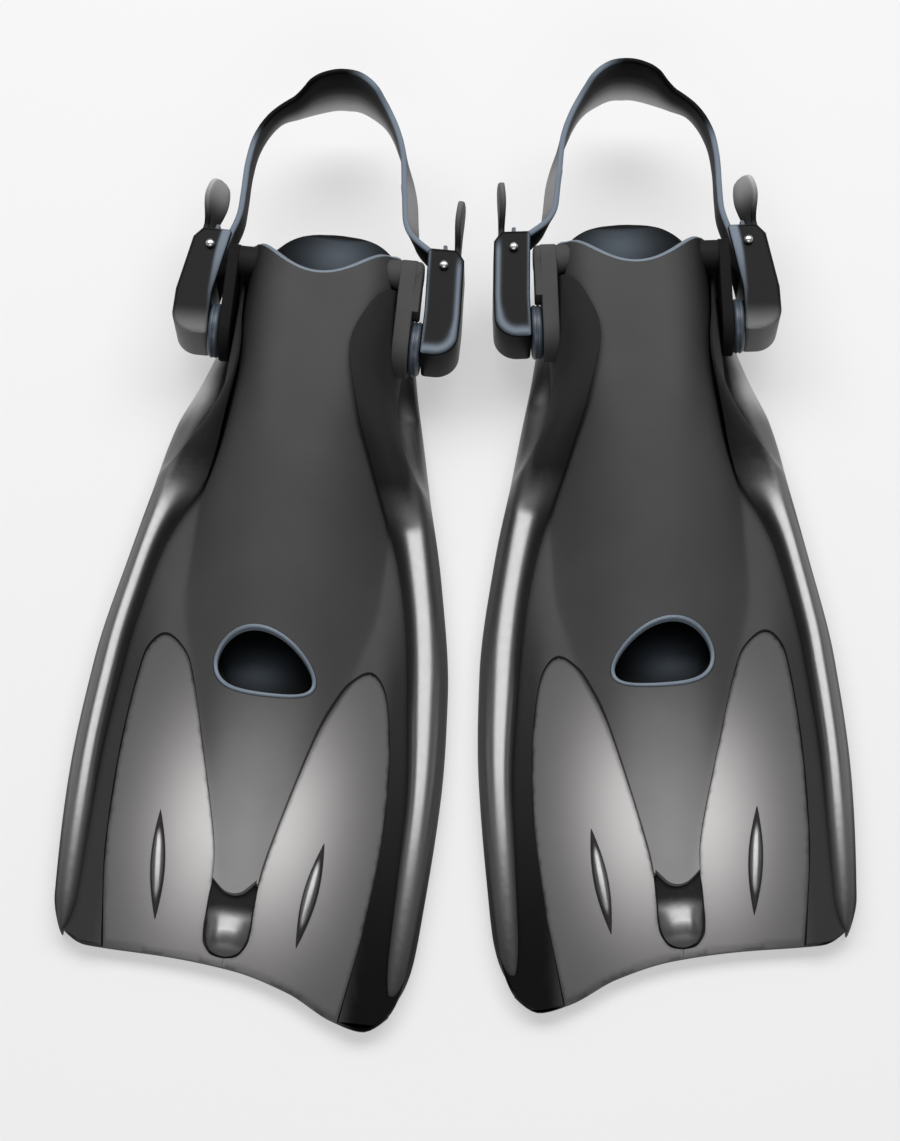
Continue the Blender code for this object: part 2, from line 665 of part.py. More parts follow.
def make_lever(fin, part):
    """The cam that grips the strap's tail, with a thumb tab at the heel end."""
    frame = BuckleFrame(part)
    x, y = LEVER_AT
    turns = spread(math.radians(110), math.radians(250), 6)
    hub = [(x + 3 * math.cos(a), y + 3 * math.sin(a)) for a in turns]
    outline = hub + [(x + 2.5, y - 6), (x + 3.6, y - 5), (x + 3.2, y + 1), (x + 1.2, y + 4),
                     (x + 1.2, y + 15), (x - 1.2, y + 15)]
    half = BUCKLE_HALF - CHEEK - 0.6
    shape = prism(outline, -half, half, frame.place)
    lever = fin.add(f"{part}_lever", shape, "swivel_plastic", fin.axis, frame.place(x, y, 0))
    fin.carve(lever, [upright(x, y, -20, 20, PIN_RADIUS + GAP, 12, frame.place)], fin.axis)


def strap_leg(part):
    """Path in plan from the tail's end, around the roller and out towards the loop."""
    frame = BuckleFrame(part)
    x, y = ROLLER_AT
    turn = ROLLER_RADIUS + GAP + BAND / 2
    tail = through(TAIL[part][::-1], 3)
    back = [(x + turn, 45), (x + turn, 25)]
    bend = [(x + turn * math.cos(a), y - turn * math.sin(a)) for a in spread(0, math.pi, 9)]
    lead = through([(x - turn, 9), (x - turn - 1.2, 24), (2.6, 46), (1.6, 57)], 3)
    return [frame.plan(*p) for p in tail + back + bend + lead]


def strap_path():
    medial, lateral = strap_leg("medial"), strap_leg("lateral")
    bridge = through([medial[-1]] + LOOP + [lateral[-1]], 4)
    return medial + bridge[1:-1] + lateral[::-1]


def strap_heights(x, y):
    """Lower and upper edge of the band: wide at the heel pad, with a pull tab above it."""
    if y < 100:
        return -BAND_HALF, BAND_HALF
    reach = abs(x)
    return along(PAD_LOWER, reach), along(PAD_UPPER, reach)


def strap_shape():
    path = strap_path()
    sections = []
    for index, (x, y) in enumerate(path):
        before, after = path[max(index - 1, 0)], path[min(index + 1, len(path) - 1)]
        way = Vector((after[0] - before[0], after[1] - before[1])).normalized()
        dx, dy = way.y * BAND / 2, -way.x * BAND / 2
        low, high = strap_heights(x, y)
        if index in (0, len(path) - 1):
            low, high = low * 0.55, high * 0.55
        sections.append([(x - dx, y - dy, low), (x - dx, y - dy, high), (x + dx, y + dy, high),
                         (x + dx, y + dy, low)])
    return solid(sections)


def blade_outline():
    edge = [(x, y + 0.8) for x, y in tip_edge(-82, 89, 25)]
    ys = (50, TIP_ROW_Y) + STATIONS[:5]
    medial = [(along(BODY_SIDE["medial"], y) - PLATE_INSET, y) for y in ys]
    lateral = [(along(BODY_SIDE["lateral"], y) + PLATE_INSET, y) for y in ys]
    return edge + medial + lateral[::-1]


def footbed_outline():
    ys = (PLATE_END + GAP,) + STATIONS[5:]
    medial = [(along(BODY_SIDE["medial"], y), y) for y in ys]
    lateral = [(along(BODY_SIDE["lateral"], y), y) for y in ys]
    return medial + lateral[::-1]


def make_body(fin):
    body = fin.add("foot_pocket", body_shape(), "pocket_rubber", smooth=50)
    fin.carve(body, [lug_shape(part) for part in ("lateral", "medial")], operation="UNION")
    seats = [prism(offset(panel_outline(part, 6.0), GAP), -1, 60) for part in ("lateral", "medial")]
    seats += [prism(offset(rib_outline(), GAP), -1, 60), prism(RIB_NOSE, -1, 60)]
    vent = prism(vent_outline(0), 14, 80)
    fin.carve(body, [cavity_shape(), collar_shape(), vent] + seats)


def make_blade(fin):
    fin.add("blade_plate", prism(blade_outline(), *PLATE_Z), "blade_plastic")
    fin.add("footbed", prism(footbed_outline(), 0, SOLE_TOP), "sole_rubber")
    for part in ("lateral", "medial"):
        base = PLATE_Z[1] + GAP
        fin.add(f"{part}_panel", prism(panel_outline(part), base, PANEL_TOP), "panel_plastic")
        fin.add(f"{part}_panel_rib", lens_rib(part), "rail_plastic", smooth=60)
        fin.add(f"{part}_rail", rail_shape(part), "rail_plastic", smooth=50)
    fin.add("centre_rib", prism(rib_outline(), PLATE_Z[1] + GAP, CENTRE_RIB_TOP), "rail_plastic")


def make_strap(fin):
    for part in ("lateral", "medial"):
        anchor = fin.add(f"{part}_anchor", anchor_shape(part), "pocket_rubber")
        if part == "medial":
            fin.carve(anchor, [ear_shape()], operation="UNION")
        centre = (disc_out(part)[0], PIVOT_Y, PIVOT_Z)
        fin.add(f"{part}_swivel_post", post_shape(part), "swivel_plastic", origin=centre)
        make_buckle(fin, part)
        make_roller(fin, part)
        make_rivet(fin, part)
        make_lever(fin, part)
    fin.add("heel_strap", strap_shape(), "strap_rubber", fin.axis, smooth=40)


for leftover in list(bpy.data.objects):
    bpy.data.objects.remove(leftover)
MATERIALS = {name: make_material(name, *look) for name, look in COLOURS.items()}
for side_name in FINS:
    new_fin = Fin(side_name)
    make_body(new_fin)
    make_blade(new_fin)
    new_fin.add("vent_rim", vent_rim_shape(), "rim_rubber")
    make_strap(new_fin)
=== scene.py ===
"""Visual model of a pair of open-heel swim fins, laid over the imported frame.

Each fin is shaped in its own frame, in millimetres: +X towards the other fin, +Y from the blade's tip to
the heel, +Z up. The left fin is the right fin mirrored. Straps and buckles are shaped in the strap's
frame, whose origin is on the axis through the swivel posts.
"""
import functools
import json
from math import acos, atan2, copysign, cos, exp, hypot, inf, pi, radians, sin, sqrt, tan, tau

import bmesh
import bpy
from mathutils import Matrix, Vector, geometry


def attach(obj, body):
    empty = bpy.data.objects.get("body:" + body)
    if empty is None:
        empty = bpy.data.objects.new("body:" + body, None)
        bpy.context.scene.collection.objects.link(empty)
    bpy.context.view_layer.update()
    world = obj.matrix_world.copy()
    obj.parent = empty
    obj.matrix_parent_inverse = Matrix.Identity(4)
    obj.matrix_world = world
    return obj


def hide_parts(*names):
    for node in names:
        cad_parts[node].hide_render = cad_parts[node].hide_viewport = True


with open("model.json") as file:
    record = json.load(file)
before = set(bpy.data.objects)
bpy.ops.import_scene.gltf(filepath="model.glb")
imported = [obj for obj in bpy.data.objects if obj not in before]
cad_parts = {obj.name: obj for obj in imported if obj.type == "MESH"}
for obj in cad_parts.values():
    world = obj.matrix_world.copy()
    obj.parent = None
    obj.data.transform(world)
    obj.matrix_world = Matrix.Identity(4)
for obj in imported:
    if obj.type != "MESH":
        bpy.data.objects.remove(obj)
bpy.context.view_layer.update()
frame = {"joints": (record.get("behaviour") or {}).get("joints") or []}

MM = 0.001
GAP = 0.3
PARTS = ("lateral", "medial")
SIGN = {"lateral": -1, "medial": 1}

# Heights of the flat parts of the blade.
PLATE_Z = (2.5, 6.0)
PANEL_TOP = 9.0
WEB_TOP = 10.5
SOLE_TOP = 6.0
PLATE_END = 225.0
HEEL_END = 494.0

# Side edges of the rails and of the rubber body under them, as (y, x) knots, and the rails' shape along Y.
RAIL_OUT = {
    "medial": [(22, 96.5), (60, 99.8), (140, 102.5), (200, 99.5), (268, 88.5), (341, 71), (380, 62),
               (431, 53)],
    "lateral": [(40, -89.5), (62, -94.5), (140, -98.5), (200, -96), (262, -87.5), (351, -71.5), (380, -62),
                (431, -49)],
}
RAIL_IN = {
    "medial": [(22, 86), (117, 85), (193, 78), (235, 72), (270, 64), (297, 55), (319, 44), (341, 33),
               (376, 25), (402, 32), (431, 45)],
    "lateral": [(40, -82), (130, -82), (205, -78), (243, -73), (270, -68), (291, -61), (312, -51), (335, -43),
                (371, -35), (400, -38), (431, -41)],
}
AXIS_X = 2.0
HEEL_HALF = [(380, 47.5), (440, 46.5), (460, 44.5), (474, 39), (484, 31.5), (490, 23.5), (493, 14), (494, 3)]
BODY_SIDE = {
    "medial": [(0, 88), (22, 90), (60, 93), (140, 96), (200, 93), (268, 82), (320, 68), (350, 56)]
    + [(y, AXIS_X + half) for y, half in HEEL_HALF],
    "lateral": [(0, -78), (40, -84), (62, -88), (140, -92), (200, -90), (262, -81), (320, -66), (350, -54)]
    + [(y, AXIS_X - half) for y, half in HEEL_HALF],
}
RAIL_END_Y = 431.0
RAIL_NOSE = {"medial": (23.0, 24.0), "lateral": (42.0, 20.0)}
TIP_CORNER = {"medial": 4.0, "lateral": 2.0}
CREST_RISE = [(20, 3), (60, 9), (200, 13), (300, 13), (341, 6), (431, 2)]
CREST_LEAN = [(20, 0.2), (270, 0.25), (341, 0.5), (431, 0.5)]
CREST_DROP = [(20, 15), (60, 17), (200, 21), (300, 27), (341, 40), (431, 46)]
RAIL_EDGE = [(20, 2.2), (60, 2.5), (270, 3.8), (300, 4.3), (350, 4.6), (384, 3.4), (431, 3.2)]
RAIL_SLACK = [(20, 0.9), (80, 0.9), (270, 1.6), (300, 2.1), (350, 2.5), (384, 1.5), (431, 1.2)]
SHOULDER_MIX = [(315, 0), (365, 1)]
SHOULDER_FOOT = 22.0
DOME_RAIL_Y = 310.0
RAIL_FOOT = 5.0
RAIL_ROOM = [(20, 1.8), (80, 0.6), (105, 0.0)]
TIP_SIDE_Y = 40.0
TIP_ROW_Y = 80.0

# Outline of the blade's tip.
TIP = [(-93, 60), (-88, 44), (-74, 36), (-30, 34), (5, 30), (35, 21), (60, 8), (76, 4), (88, 12), (95, 30),
       (98, 60)]

# The foot pocket's crest, half width and cross-section along Y.
CREST = [(66, 11), (84, 14), (120, 18), (176, 28), (218, 39), (260, 52), (310, 66), (360, 75), (410, 79),
         (494, 79)]
DOME_HALF = [(66, 9), (84, 13), (120, 21), (155, 30), (205, 46), (250, 55), (300, 55), (340, 50),
             (376, 47.5), (494, 47)]
FLATNESS = [(66, 2), (200, 2.1), (300, 2.6), (350, 4.5), (390, 7), (494, 7)]
FLARE = [(66, 1.3), (250, 1.3), (330, 1.2), (370, 1), (494, 1)]
FOOT_HALF = [(184, 18), (196, 28), (220, 34), (260, 39), (320, 41), (400, 40.5), (470, 40), (520, 36)]
FOOT_TOP = [(184, 19), (200, 27), (260, 46), (310, 61), (360, 70.5), (410, 75), (520, 75)]
INSOLE_HALF = [(188, 15), (196, 24.5), (220, 31), (260, 36), (320, 38), (446, 38), (460, 44), (494, 44)]
COLLAR_Y = 421.0
COLLAR_SWEEP = 30.0
COLLAR_HALF = 44.0
CUT_Z = (-1, 60)
LIP_IN = 2.4
LIP_DROP = 1.6
LIP_RADIUS = 1.7

# The toe vent.
VENT_AT = (0.0, 197.0)
VENT_HALF = (29.5, 18.5)
VENT_LEAN = -14.0

# Panel outlines.
PANEL_TIP_X = {"lateral": (-64.0, -0.6), "medial": (-0.4, 63.0)}
PANEL_INNER = {
    "lateral": [(-0.6, 35.3), (-5, 36), (-8.8, 37.9), (-12.4, 43.8), (-13.5, 52), (-13.4, 66), (-14, 96),
                (-29, 155), (-40, 195)],
    "medial": [(-0.4, 35.3), (3.8, 36), (7.2, 37.9), (10.8, 43.8), (11.9, 52), (12, 66), (14.5, 94),
               (30, 162), (40, 190)],
}
PANEL_CROWN = {
    "lateral": [(-47, 211), (-58, 220), (-66, 214), (-70, 198)],
    "medial": [(47, 202), (56, 208), (64, 200), (69, 182)],
}
PANEL_OUTER = {
    "lateral": [(-73, 150), (-72, 95), (-68, 60)],
    "medial": [(73, 150), (74, 105), (70, 55)],
}
TONGUE_TIP = [(8.6, 76), (4.8, 72), (0, 70.5), (-5.2, 72), (-9.6, 76)]
RIB_PEAK = (-3.0, 50.0)
RIB_RISE = 5.4
RIB_DIP = [(50, 0), (58, -1.3), (68, -3.6), (79, -5)]
RIB_NOSE = [(-14, 78), (-14.2, 52), (-13.2, 43), (-9, 36.6), (-6, 31), (-6, 20), (6, 20), (6, 31),
            (7.6, 36.8), (11.6, 43), (12.6, 52), (12.9, 78), (11.2, 78), (11, 60), (-12.3, 60), (-12.4, 78)]
LENS_RIBS = {"lateral": ((-46, 117), (-39, 51)), "medial": ((44, 107), (36.5, 43))}
LENS_WIDTH = 8.0
LENS_FOOT = PANEL_TOP - 0.4
LENS_RISE = 4.3

# Swivels, buckles and strap.
PIVOT_Y = 399.0
PIVOT_Z = 40.0
STRAP_TILT = 7.0
ANCHOR = {"medial": (46.5, 55.7), "lateral": (-52.0, -45.5)}
ANCHOR_FILL = [(17, 2), (37, 10), (37, 26), (12, 20.7)]
ANCHOR_BACK = (37.0, 18.0, 9.0)
ANCHOR_RADIUS = 17.0
HUMP_ROUND = 3.0
EAR_IN = 54.0
EAR_OUT = 59.6
LUG = [(431.6, 7), (431.6, 56), (445, 56), (447, 40), (448, 7)]
LUG_SPAN = {"medial": (38.0, 52.9), "lateral": (-49.1, -34.0)}
DISC_RADIUS = 15.5
DISC_THICK = 6.0
POST_RADIUS = 4.0
POST_HEAD = 6.0
POST_REACH = 5.2
BUCKLE_LENGTH = (-9.5, 57.0)
BUCKLE_WIDTH = 20.8
BUCKLE_HALF = 15.5
CHEEK = 2.5
BUCKLE_WALL = 3.0
BUCKLE_ROUND = 13.0
BUCKLE_OPEN_Y = 24.0
TOE_START = 17.0
TOE_IN = {"medial": 3.0, "lateral": 9.0}
ROLLER_AT = (11.8, 1.0)
ROLLER_RADIUS = 2.5
STUB_RADIUS = 1.5
LEVER_AT = (9.5, 46.0)
LEVER_ARM = [(2.5, -6), (3.4, -5.4), (3.4, -3), (3.2, 1), (1.2, 4), (1.2, 14.4), (0.6, 15), (-0.6, 15),
             (-1.2, 14.4)]
PIN_RADIUS = 1.2
BALL_RADIUS = 2.6
BAND = 3.4
BAND_HALF = 10.5
PAD_UPPER = [(0, 21), (14, 20.8), (19, 19), (24, 12.5), (29, 8.8), (38, 8.6), (50, BAND_HALF)]
PAD_LOWER = [(0, -25), (12, -23), (28, -16), (38, -BAND_HALF), (60, -BAND_HALF)]
LOOP = [(49.5, 70), (44.5, 96), (38, 122), (27, 146), (12, 160), (0, 163), (-12, 160), (-27, 150),
        (-40, 138), (-47.5, 122), (-50, 104), (-50, 84), (-50.5, 70)]
TAIL = {"medial": [(16.4, 62), (16.2, 78), (17.2, 94)], "lateral": [(16.6, 62), (17.6, 80), (18.2, 94)]}
TAIL_POINTS = 17
TAIL_TWIST = {"medial": 4.0, "lateral": -30.0}
LEG_TWIST = 18.0

# Blue-grey: the vent rim's colour, and the colour of most painted highlights.
BLUE_GREY = (0.105, 0.128, 0.155)
BLACK = (0.003, 0.003, 0.0033)


# ---- curves and outlines ----

def along(knots, at):
    """Value at a place on a smooth curve through (place, value) knots, without overshoot."""
    if at <= knots[0][0]:
        return float(knots[0][1])
    if at >= knots[-1][0]:
        return float(knots[-1][1])
    spans = [(b[1] - a[1]) / (b[0] - a[0]) for a, b in zip(knots, knots[1:])]
    index = next(i for i in range(len(spans)) if at <= knots[i + 1][0])

    def slope(knot):
        if knot == 0:
            return spans[0]
        if knot == len(spans):
            return spans[-1]
        before, after = spans[knot - 1], spans[knot]
        return 0.0 if before * after <= 0 else 2 * before * after / (before + after)

    (x0, y0), (x1, y1) = knots[index], knots[index + 1]
    width = x1 - x0
    t = (at - x0) / width
    rise, fall = slope(index) * width, slope(index + 1) * width
    return ((2 * t ** 3 - 3 * t ** 2 + 1) * y0 + (t ** 3 - 2 * t ** 2 + t) * rise
            + (3 * t ** 2 - 2 * t ** 3) * y1 + (t ** 3 - t ** 2) * fall)


def through(points, steps):
    """Points on a Catmull-Rom curve, with so many steps to a span."""
    ends = [points[0]] + list(points) + [points[-1]]
    result = []
    for a, b, c, d in zip(ends, ends[1:], ends[2:], ends[3:]):
        for step in range(steps):
            t = step / steps
            result.append(tuple(
                0.5 * (2 * q + (r - p) * t + (2 * p - 5 * q + 4 * r - s) * t * t
                       + (3 * q - p - 3 * r + s) * t ** 3)
                for p, q, r, s in zip(a, b, c, d)))
    result.append(tuple(float(v) for v in points[-1]))
    return result


def spread(low, high, count):
    """Evenly spaced values from low to high."""
    return [low + (high - low) * i / (count - 1) for i in range(count)]


def quarter(count):
    """Angles over a quarter turn."""
    return spread(0, pi / 2, count)


def full_turn(count):
    """Angles round a full turn, without its end."""
    return [tau * i / count for i in range(count)]


def arc(centre, radius, angles):
    """Points round a centre at the given angles."""
    return [(centre[0] + radius * cos(a), centre[1] + radius * sin(a)) for a in angles]


def ramp(low, high, at):
    """0 below low, 1 above high and a smooth step between them."""
    t = max(0.0, min(1.0, (at - low) / (high - low)))
    return t * t * (3 - 2 * t)


def blend(one, two, share):
    """The colour so far of the way from one to another."""
    return tuple(a + (b - a) * share for a, b in zip(one, two))


def edges(outline):
    """The pairs of neighbouring points round a closed outline."""
    return zip(outline, outline[1:] + outline[:1])


def resample(points, count):
    """The same path with evenly spaced points."""
    points = [Vector(p) for p in points]
    reach = [0.0]
    for a, b in zip(points, points[1:]):
        reach.append(reach[-1] + (b - a).length)
    result, index = [], 0
    for target in spread(0.0, reach[-1], count):
        while index < len(points) - 2 and reach[index + 1] < target:
            index += 1
        span = reach[index + 1] - reach[index]
        t = (target - reach[index]) / span if span else 0.0
        result.append(points[index].lerp(points[index + 1], max(0.0, min(1.0, t))))
    return result


def offset(points, distance):
    """Closed outline moved outwards by a distance."""
    area = sum(a[0] * b[1] - b[0] * a[1] for a, b in edges(points))
    turn = 1 if area > 0 else -1
    moved = []
    for before, here, after in zip(points[-1:] + points[:-1], points, points[1:] + points[:1]):
        one = Vector((here[0] - before[0], here[1] - before[1])).normalized()
        two = Vector((after[0] - here[0], after[1] - here[1])).normalized()
        way = (one + two).normalized()
        scale = max(way.dot(two), 0.4)
        moved.append((here[0] + turn * distance * way.y / scale, here[1] - turn * distance * way.x / scale))
    return moved


@functools.cache
def dome_at(y):
    """Crest height, half width, flatness and flare of the pocket's dome."""
    return along(CREST, y), along(DOME_HALF, y), along(FLATNESS, y), along(FLARE, y)


def crest(x, y):
    """Height of the rubber body's outer surface."""
    if y <= CREST[0][0]:
        return WEB_TOP
    top, half, flat, flare = dome_at(y)
    reach = min(abs(x - AXIS_X) / half, 1.0)
    return WEB_TOP + max(top - WEB_TOP, 0.0) * (1 - reach ** flat) ** flare


# ---- shapes: (vertices, faces) ----

def loft(sections, closed_path=False):
    """A skin over equal closed sections, with ends unless its path is closed."""
    count, rows = len(sections[0]), len(sections)
    verts = [tuple(p) for section in sections for p in section]
    faces = []
    for row in range(rows if closed_path else rows - 1):
        after = (row + 1) % rows
        for i in range(count):
            j = (i + 1) % count
            faces.append((row * count + i, row * count + j, after * count + j, after * count + i))
    if not closed_path:
        faces.append(tuple(range(count)))
        faces.append(tuple(range((rows - 1) * count, rows * count)))
    return verts, faces


def prism(outline, low, high, place=lambda x, y, z: (x, y, z)):
    """A plan outline carried from one height to another."""
    return loft([[place(x, y, z) for x, y in outline] for z in (low, high)])


def slab(outline, low, high, edge, place=lambda x, y, z: (x, y, z), steps=4):
    """A prism whose upper and lower edges are rounded."""
    turns = quarter(steps + 1)
    rings = [(edge * (1 - sin(a)), low + edge * (1 - cos(a))) for a in turns]
    rings += [(edge * (1 - cos(a)), high - edge * (1 - sin(a))) for a in turns]
    return loft([[place(x, y, z) for x, y in offset(outline, -inset)] for inset, z in rings])


def lathe(profile, segments, place):
    """A profile of (distance along the axis, radius) turned about it."""
    return loft([[place(reach, *p) for p in arc((0, 0), radius, full_turn(segments))]
                 for reach, radius in profile])


def bead(path, radius):
    """A round bead along a path, slimmer at its ends."""
    path = [Vector(p) for p in path]
    sections = []
    for before, here, after in zip(path[:1] + path, path, path[1:] + path[-1:]):
        way = (after - before).normalized()
        side = way.cross(Vector((0, 0, 1))).normalized()
        up = side.cross(way).normalized()
        size = radius * (0.55 if here in (before, after) else 1)
        sections.append([here + side * a + up * b for a, b in arc((0, 0), size, full_turn(14))])
    return loft(sections)


def inside(point, outline):
    """Whether a plan point lies in a closed outline."""
    x, y = point
    result = False
    for (ax, ay), (bx, by) in edges(outline):
        if (ay > y) != (by > y) and x < (bx - ax) * (y - ay) / (by - ay) + ax:
            result = not result
    return result


def edge_distance(point, outline):
    """Distance from a plan point to a closed outline."""
    here = Vector(point)
    best = 1e9
    for a, b in edges(outline):
        a, b = Vector(a), Vector(b)
        t = max(0.0, min(1.0, (here - a).dot(b - a) / max((b - a).length_squared, 1e-12)))
        best = min(best, (here - a.lerp(b, t)).length)
    return best


def pillow(outline, base, height, radius, spacing, rise=None):
    """A closed pad, whose top rounds over its edges or stands above them by a given rise."""
    xs, ys = [p[0] for p in outline], [p[1] for p in outline]
    points, depth = list(outline), [0.0] * len(outline)
    for row in range(int((max(ys) - min(ys)) / spacing) + 1):
        for column in range(int((max(xs) - min(xs)) / spacing) + 1):
            at = (min(xs) + spacing * (column + 0.5 * (row % 2)), min(ys) + spacing * row)
            if inside(at, outline) and edge_distance(at, outline) > 0.35 * spacing:
                points.append(at)
    ring = list(range(len(outline)))
    found = geometry.delaunay_2d_cdt([Vector(p) for p in points], [], [ring], 1, 1e-5)
    top, faces = found[0], [tuple(f) for f in found[2]]
    verts = []
    for x, y in top:
        near = min(edge_distance((x, y), outline) / radius, 1.0)
        crown = rise(x, y) if rise else height * sqrt(1 - (1 - near) ** 2)
        verts.append((x, y, base[1] + crown))
    start = len(verts)
    verts += [(x, y, base[0]) for x, y in outline]
    for i in ring:
        j = (i + 1) % len(ring)
        faces.append((i, j, start + j, start + i))
    faces.append(tuple(start + i for i in reversed(ring)))
    return verts, faces


def carved(shape, cutters, union=()):
    """A shape with some others joined to it and some cut out."""
    item = scratch(shape)
    for tools, operation in ((union, "UNION"), (cutters, "DIFFERENCE")):
        for cutter in tools:
            tool = scratch(cutter)
            step = item.modifiers.new("cut", "BOOLEAN")
            step.operation, step.solver, step.object = operation, "EXACT", tool
            bpy.context.view_layer.update()
            mesh = bpy.data.meshes.new_from_object(item.evaluated_get(bpy.context.evaluated_depsgraph_get()))
            item.modifiers.remove(step)
            item.data = mesh
            bpy.data.objects.remove(tool)
    verts = [tuple(v.co) for v in item.data.vertices]
    faces = [tuple(p.vertices) for p in item.data.polygons]
    bpy.data.objects.remove(item)
    return verts, faces


def put(name, data):
    """A new object in the scene."""
    item = bpy.data.objects.new(name, data)
    bpy.context.scene.collection.objects.link(item)
    return item


def scratch(shape):
    """A temporary object whose faces point outwards."""
    mesh = bpy.data.meshes.new("scratch")
    mesh.from_pydata([Vector(v) for v in shape[0]], [], shape[1])
    outwards(mesh, 1e-5)
    return put("scratch", mesh)


def outwards(mesh, weld):
    """Weld a mesh's points and turn its faces outwards."""
    work = bmesh.new()
    work.from_mesh(mesh)
    bmesh.ops.remove_doubles(work, verts=work.verts, dist=weld)
    bmesh.ops.recalc_face_normals(work, faces=work.faces)
    work.to_mesh(mesh)
    work.free()


# ---- the two fins ----

class Fin:
    """Where one fin lies, and how its pieces are added."""

    def __init__(self, side, mirror):
        joint = next(j for j in frame["joints"] if j["name"] == f"{side}_strap_swing")
        self.side, self.mirror = side, mirror
        self.across = Vector(joint["axis"]).normalized()
        self.forward = Vector((-self.across.y, self.across.x, 0.0))
        self.pivot = Vector(joint["pos_m"])
        self.at = Vector((self.pivot.x, self.pivot.y, 0.0)) - self.forward * (PIVOT_Y * MM)

    def place(self, point, in_strap):
        """World place of a point in the fin's frame, or in the strap's, which is tilted."""
        x, y, z = point
        origin, tilt = (self.pivot, radians(STRAP_TILT)) if in_strap else (self.at, 0.0)
        way = self.forward * cos(tilt) + Vector((0, 0, sin(tilt)))
        up = Vector((0, 0, cos(tilt))) - self.forward * sin(tilt)
        return origin + self.across * (x * self.mirror * MM) + way * (y * MM) + up * (z * MM)

    def add(self, name, shape, surface, tint=None, smooth=35.0, body="fin", stands=True):
        """Make one visible piece. One that stands for a CAD node has its name."""
        verts, faces = shape
        slot, material = SURFACES[surface]
        mesh = bpy.data.meshes.new(f"{self.side}_{name}_skin")
        mesh.from_pydata([self.place(v, body != "fin") for v in verts], [], faces)
        if tint:
            colours = [tint(*v) for v in verts] if callable(tint) else tint
            layer = mesh.color_attributes.new("tint", "FLOAT_COLOR", "POINT")
            for index, colour in enumerate(colours):
                layer.data[index].color = (*colour, 1.0)[:4]
        outwards(mesh, 1e-8)
        mesh.shade_smooth()
        mesh.set_sharp_from_angle(angle=radians(smooth))
        item = put(f"{self.side}_{name}_skin", mesh)
        mesh.materials.append(material)
        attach(item, f"{self.side}_{body}")
        if stands:
            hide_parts(f"{self.side}_{name}")


# ---- materials ----

def set_inputs(node, **values):
    """Set a node's sockets, named with low lines for spaces."""
    for name, value in values.items():
        node.inputs[name.replace("_", " ")].default_value = value
    return node


def make_material(name, roughness, bump, grain, specular, colour=None, metallic=0.0, mottle=0.12, ior=1.5,
                  fading=False):
    """A moulded surface: mottled colour, uneven gloss and a fine grain.

    Without a colour it takes the mesh's tint, whose fourth number makes it that much rougher. On a fading
    one, the rougher places mirror less too.
    """
    material = bpy.data.materials.new(name)
    material.use_nodes = True
    nodes, link = material.node_tree.nodes, material.node_tree.links.new
    where = nodes.new("ShaderNodeTexCoord").outputs["Object"]

    def add_range(value, **limits):
        node = set_inputs(nodes.new("ShaderNodeMapRange"), **limits)
        link(value, node.inputs["Value"])
        return node.outputs["Result"]

    def add_noise(scale, detail):
        node = set_inputs(nodes.new("ShaderNodeTexNoise"), Scale=scale, Detail=detail)
        link(where, node.inputs["Vector"])
        return node.outputs["Fac"]

    shader = set_inputs(nodes["Principled BSDF"], Metallic=metallic, IOR=ior, Specular_IOR_Level=specular)
    broad, fine = add_noise(28.0, 3.0), add_noise(grain, 4.0)
    mix = nodes.new("ShaderNodeVectorMath")
    mix.operation = "SCALE"
    link(add_range(broad, To_Min=1 - mottle, To_Max=1 + mottle), mix.inputs["Scale"])
    link(mix.outputs["Vector"], shader.inputs["Base Color"])
    gloss = add_range(fine, To_Min=roughness * 0.85, To_Max=roughness * 1.2)
    if colour:
        mix.inputs[0].default_value = colour
        link(gloss, shader.inputs["Roughness"])
    else:
        tint = nodes.new("ShaderNodeAttribute")
        tint.attribute_name = "tint"
        link(tint.outputs["Color"], mix.inputs[0])
        uneven = nodes.new("ShaderNodeMath")
        uneven.operation = "MULTIPLY"
        link(gloss, uneven.inputs[0])
        link(tint.outputs["Alpha"], uneven.inputs[1])
        link(uneven.outputs["Value"], shader.inputs["Roughness"])
    if fading:
        mirrored = add_range(tint.outputs["Alpha"], From_Min=1.3, From_Max=3.0, To_Min=1.0, To_Max=0.22)
        link(mirrored, shader.inputs["Specular Tint"])
    relief = set_inputs(nodes.new("ShaderNodeBump"), Strength=bump, Distance=0.0002)
    link(fine, relief.inputs["Height"])
    link(relief.outputs["Normal"], shader.inputs["Normal"])
    return material


# Each surface's slot and material.
SURFACES = {
    "rubber": ("pocket_rubber", make_material("rubber", 0.55, 0.35, 1400.0, 0.03)),
    "sole": ("sole_rubber", make_material("sole", 0.7, 0.6, 900.0, 0.08, (0.005, 0.005, 0.0055))),
    "liner": ("sole_rubber", make_material("liner", 0.6, 0.4, 1300.0, 0.05)),
    "plate": ("blade_plastic", make_material("plate", 0.4, 0.3, 1200.0, 0.1, (0.005, 0.0055, 0.005))),
    "panel": ("panel_plastic", make_material("panel", 0.46, 0.25, 1800.0, 0.15, mottle=0.05)),
    "gloss": ("rail_plastic", make_material("gloss", 0.33, 0.02, 300.0, 0.9, ior=1.7, fading=True)),
    # The rim material colours the vent rim, and as a painted highlight the collar lip.
    "rim": ("rim_rubber", make_material("rim", 0.4, 0.15, 900.0, 0.2, BLUE_GREY)),
    "buckle": ("buckle_plastic", make_material("buckle", 0.35, 0.05, 700.0, 0.05)),
    "swivel": ("swivel_plastic", make_material("swivel", 0.35, 0.1, 800.0, 0.3, (0.04, 0.05, 0.064))),
    "steel": ("pin_steel", make_material("steel", 0.28, 0.05, 900.0, 0.5, (0.45, 0.45, 0.46), metallic=1.0)),
    "strap": ("strap_rubber", make_material("strap", 0.5, 0.2, 1600.0, 0.03)),
}


# ---- foot pocket, sole and blade ----

def tip_edge(low, high, count):
    """Points of the blade's tip between two places across it."""
    return [(x, along(TIP, x)) for x in spread(low, high, count)]


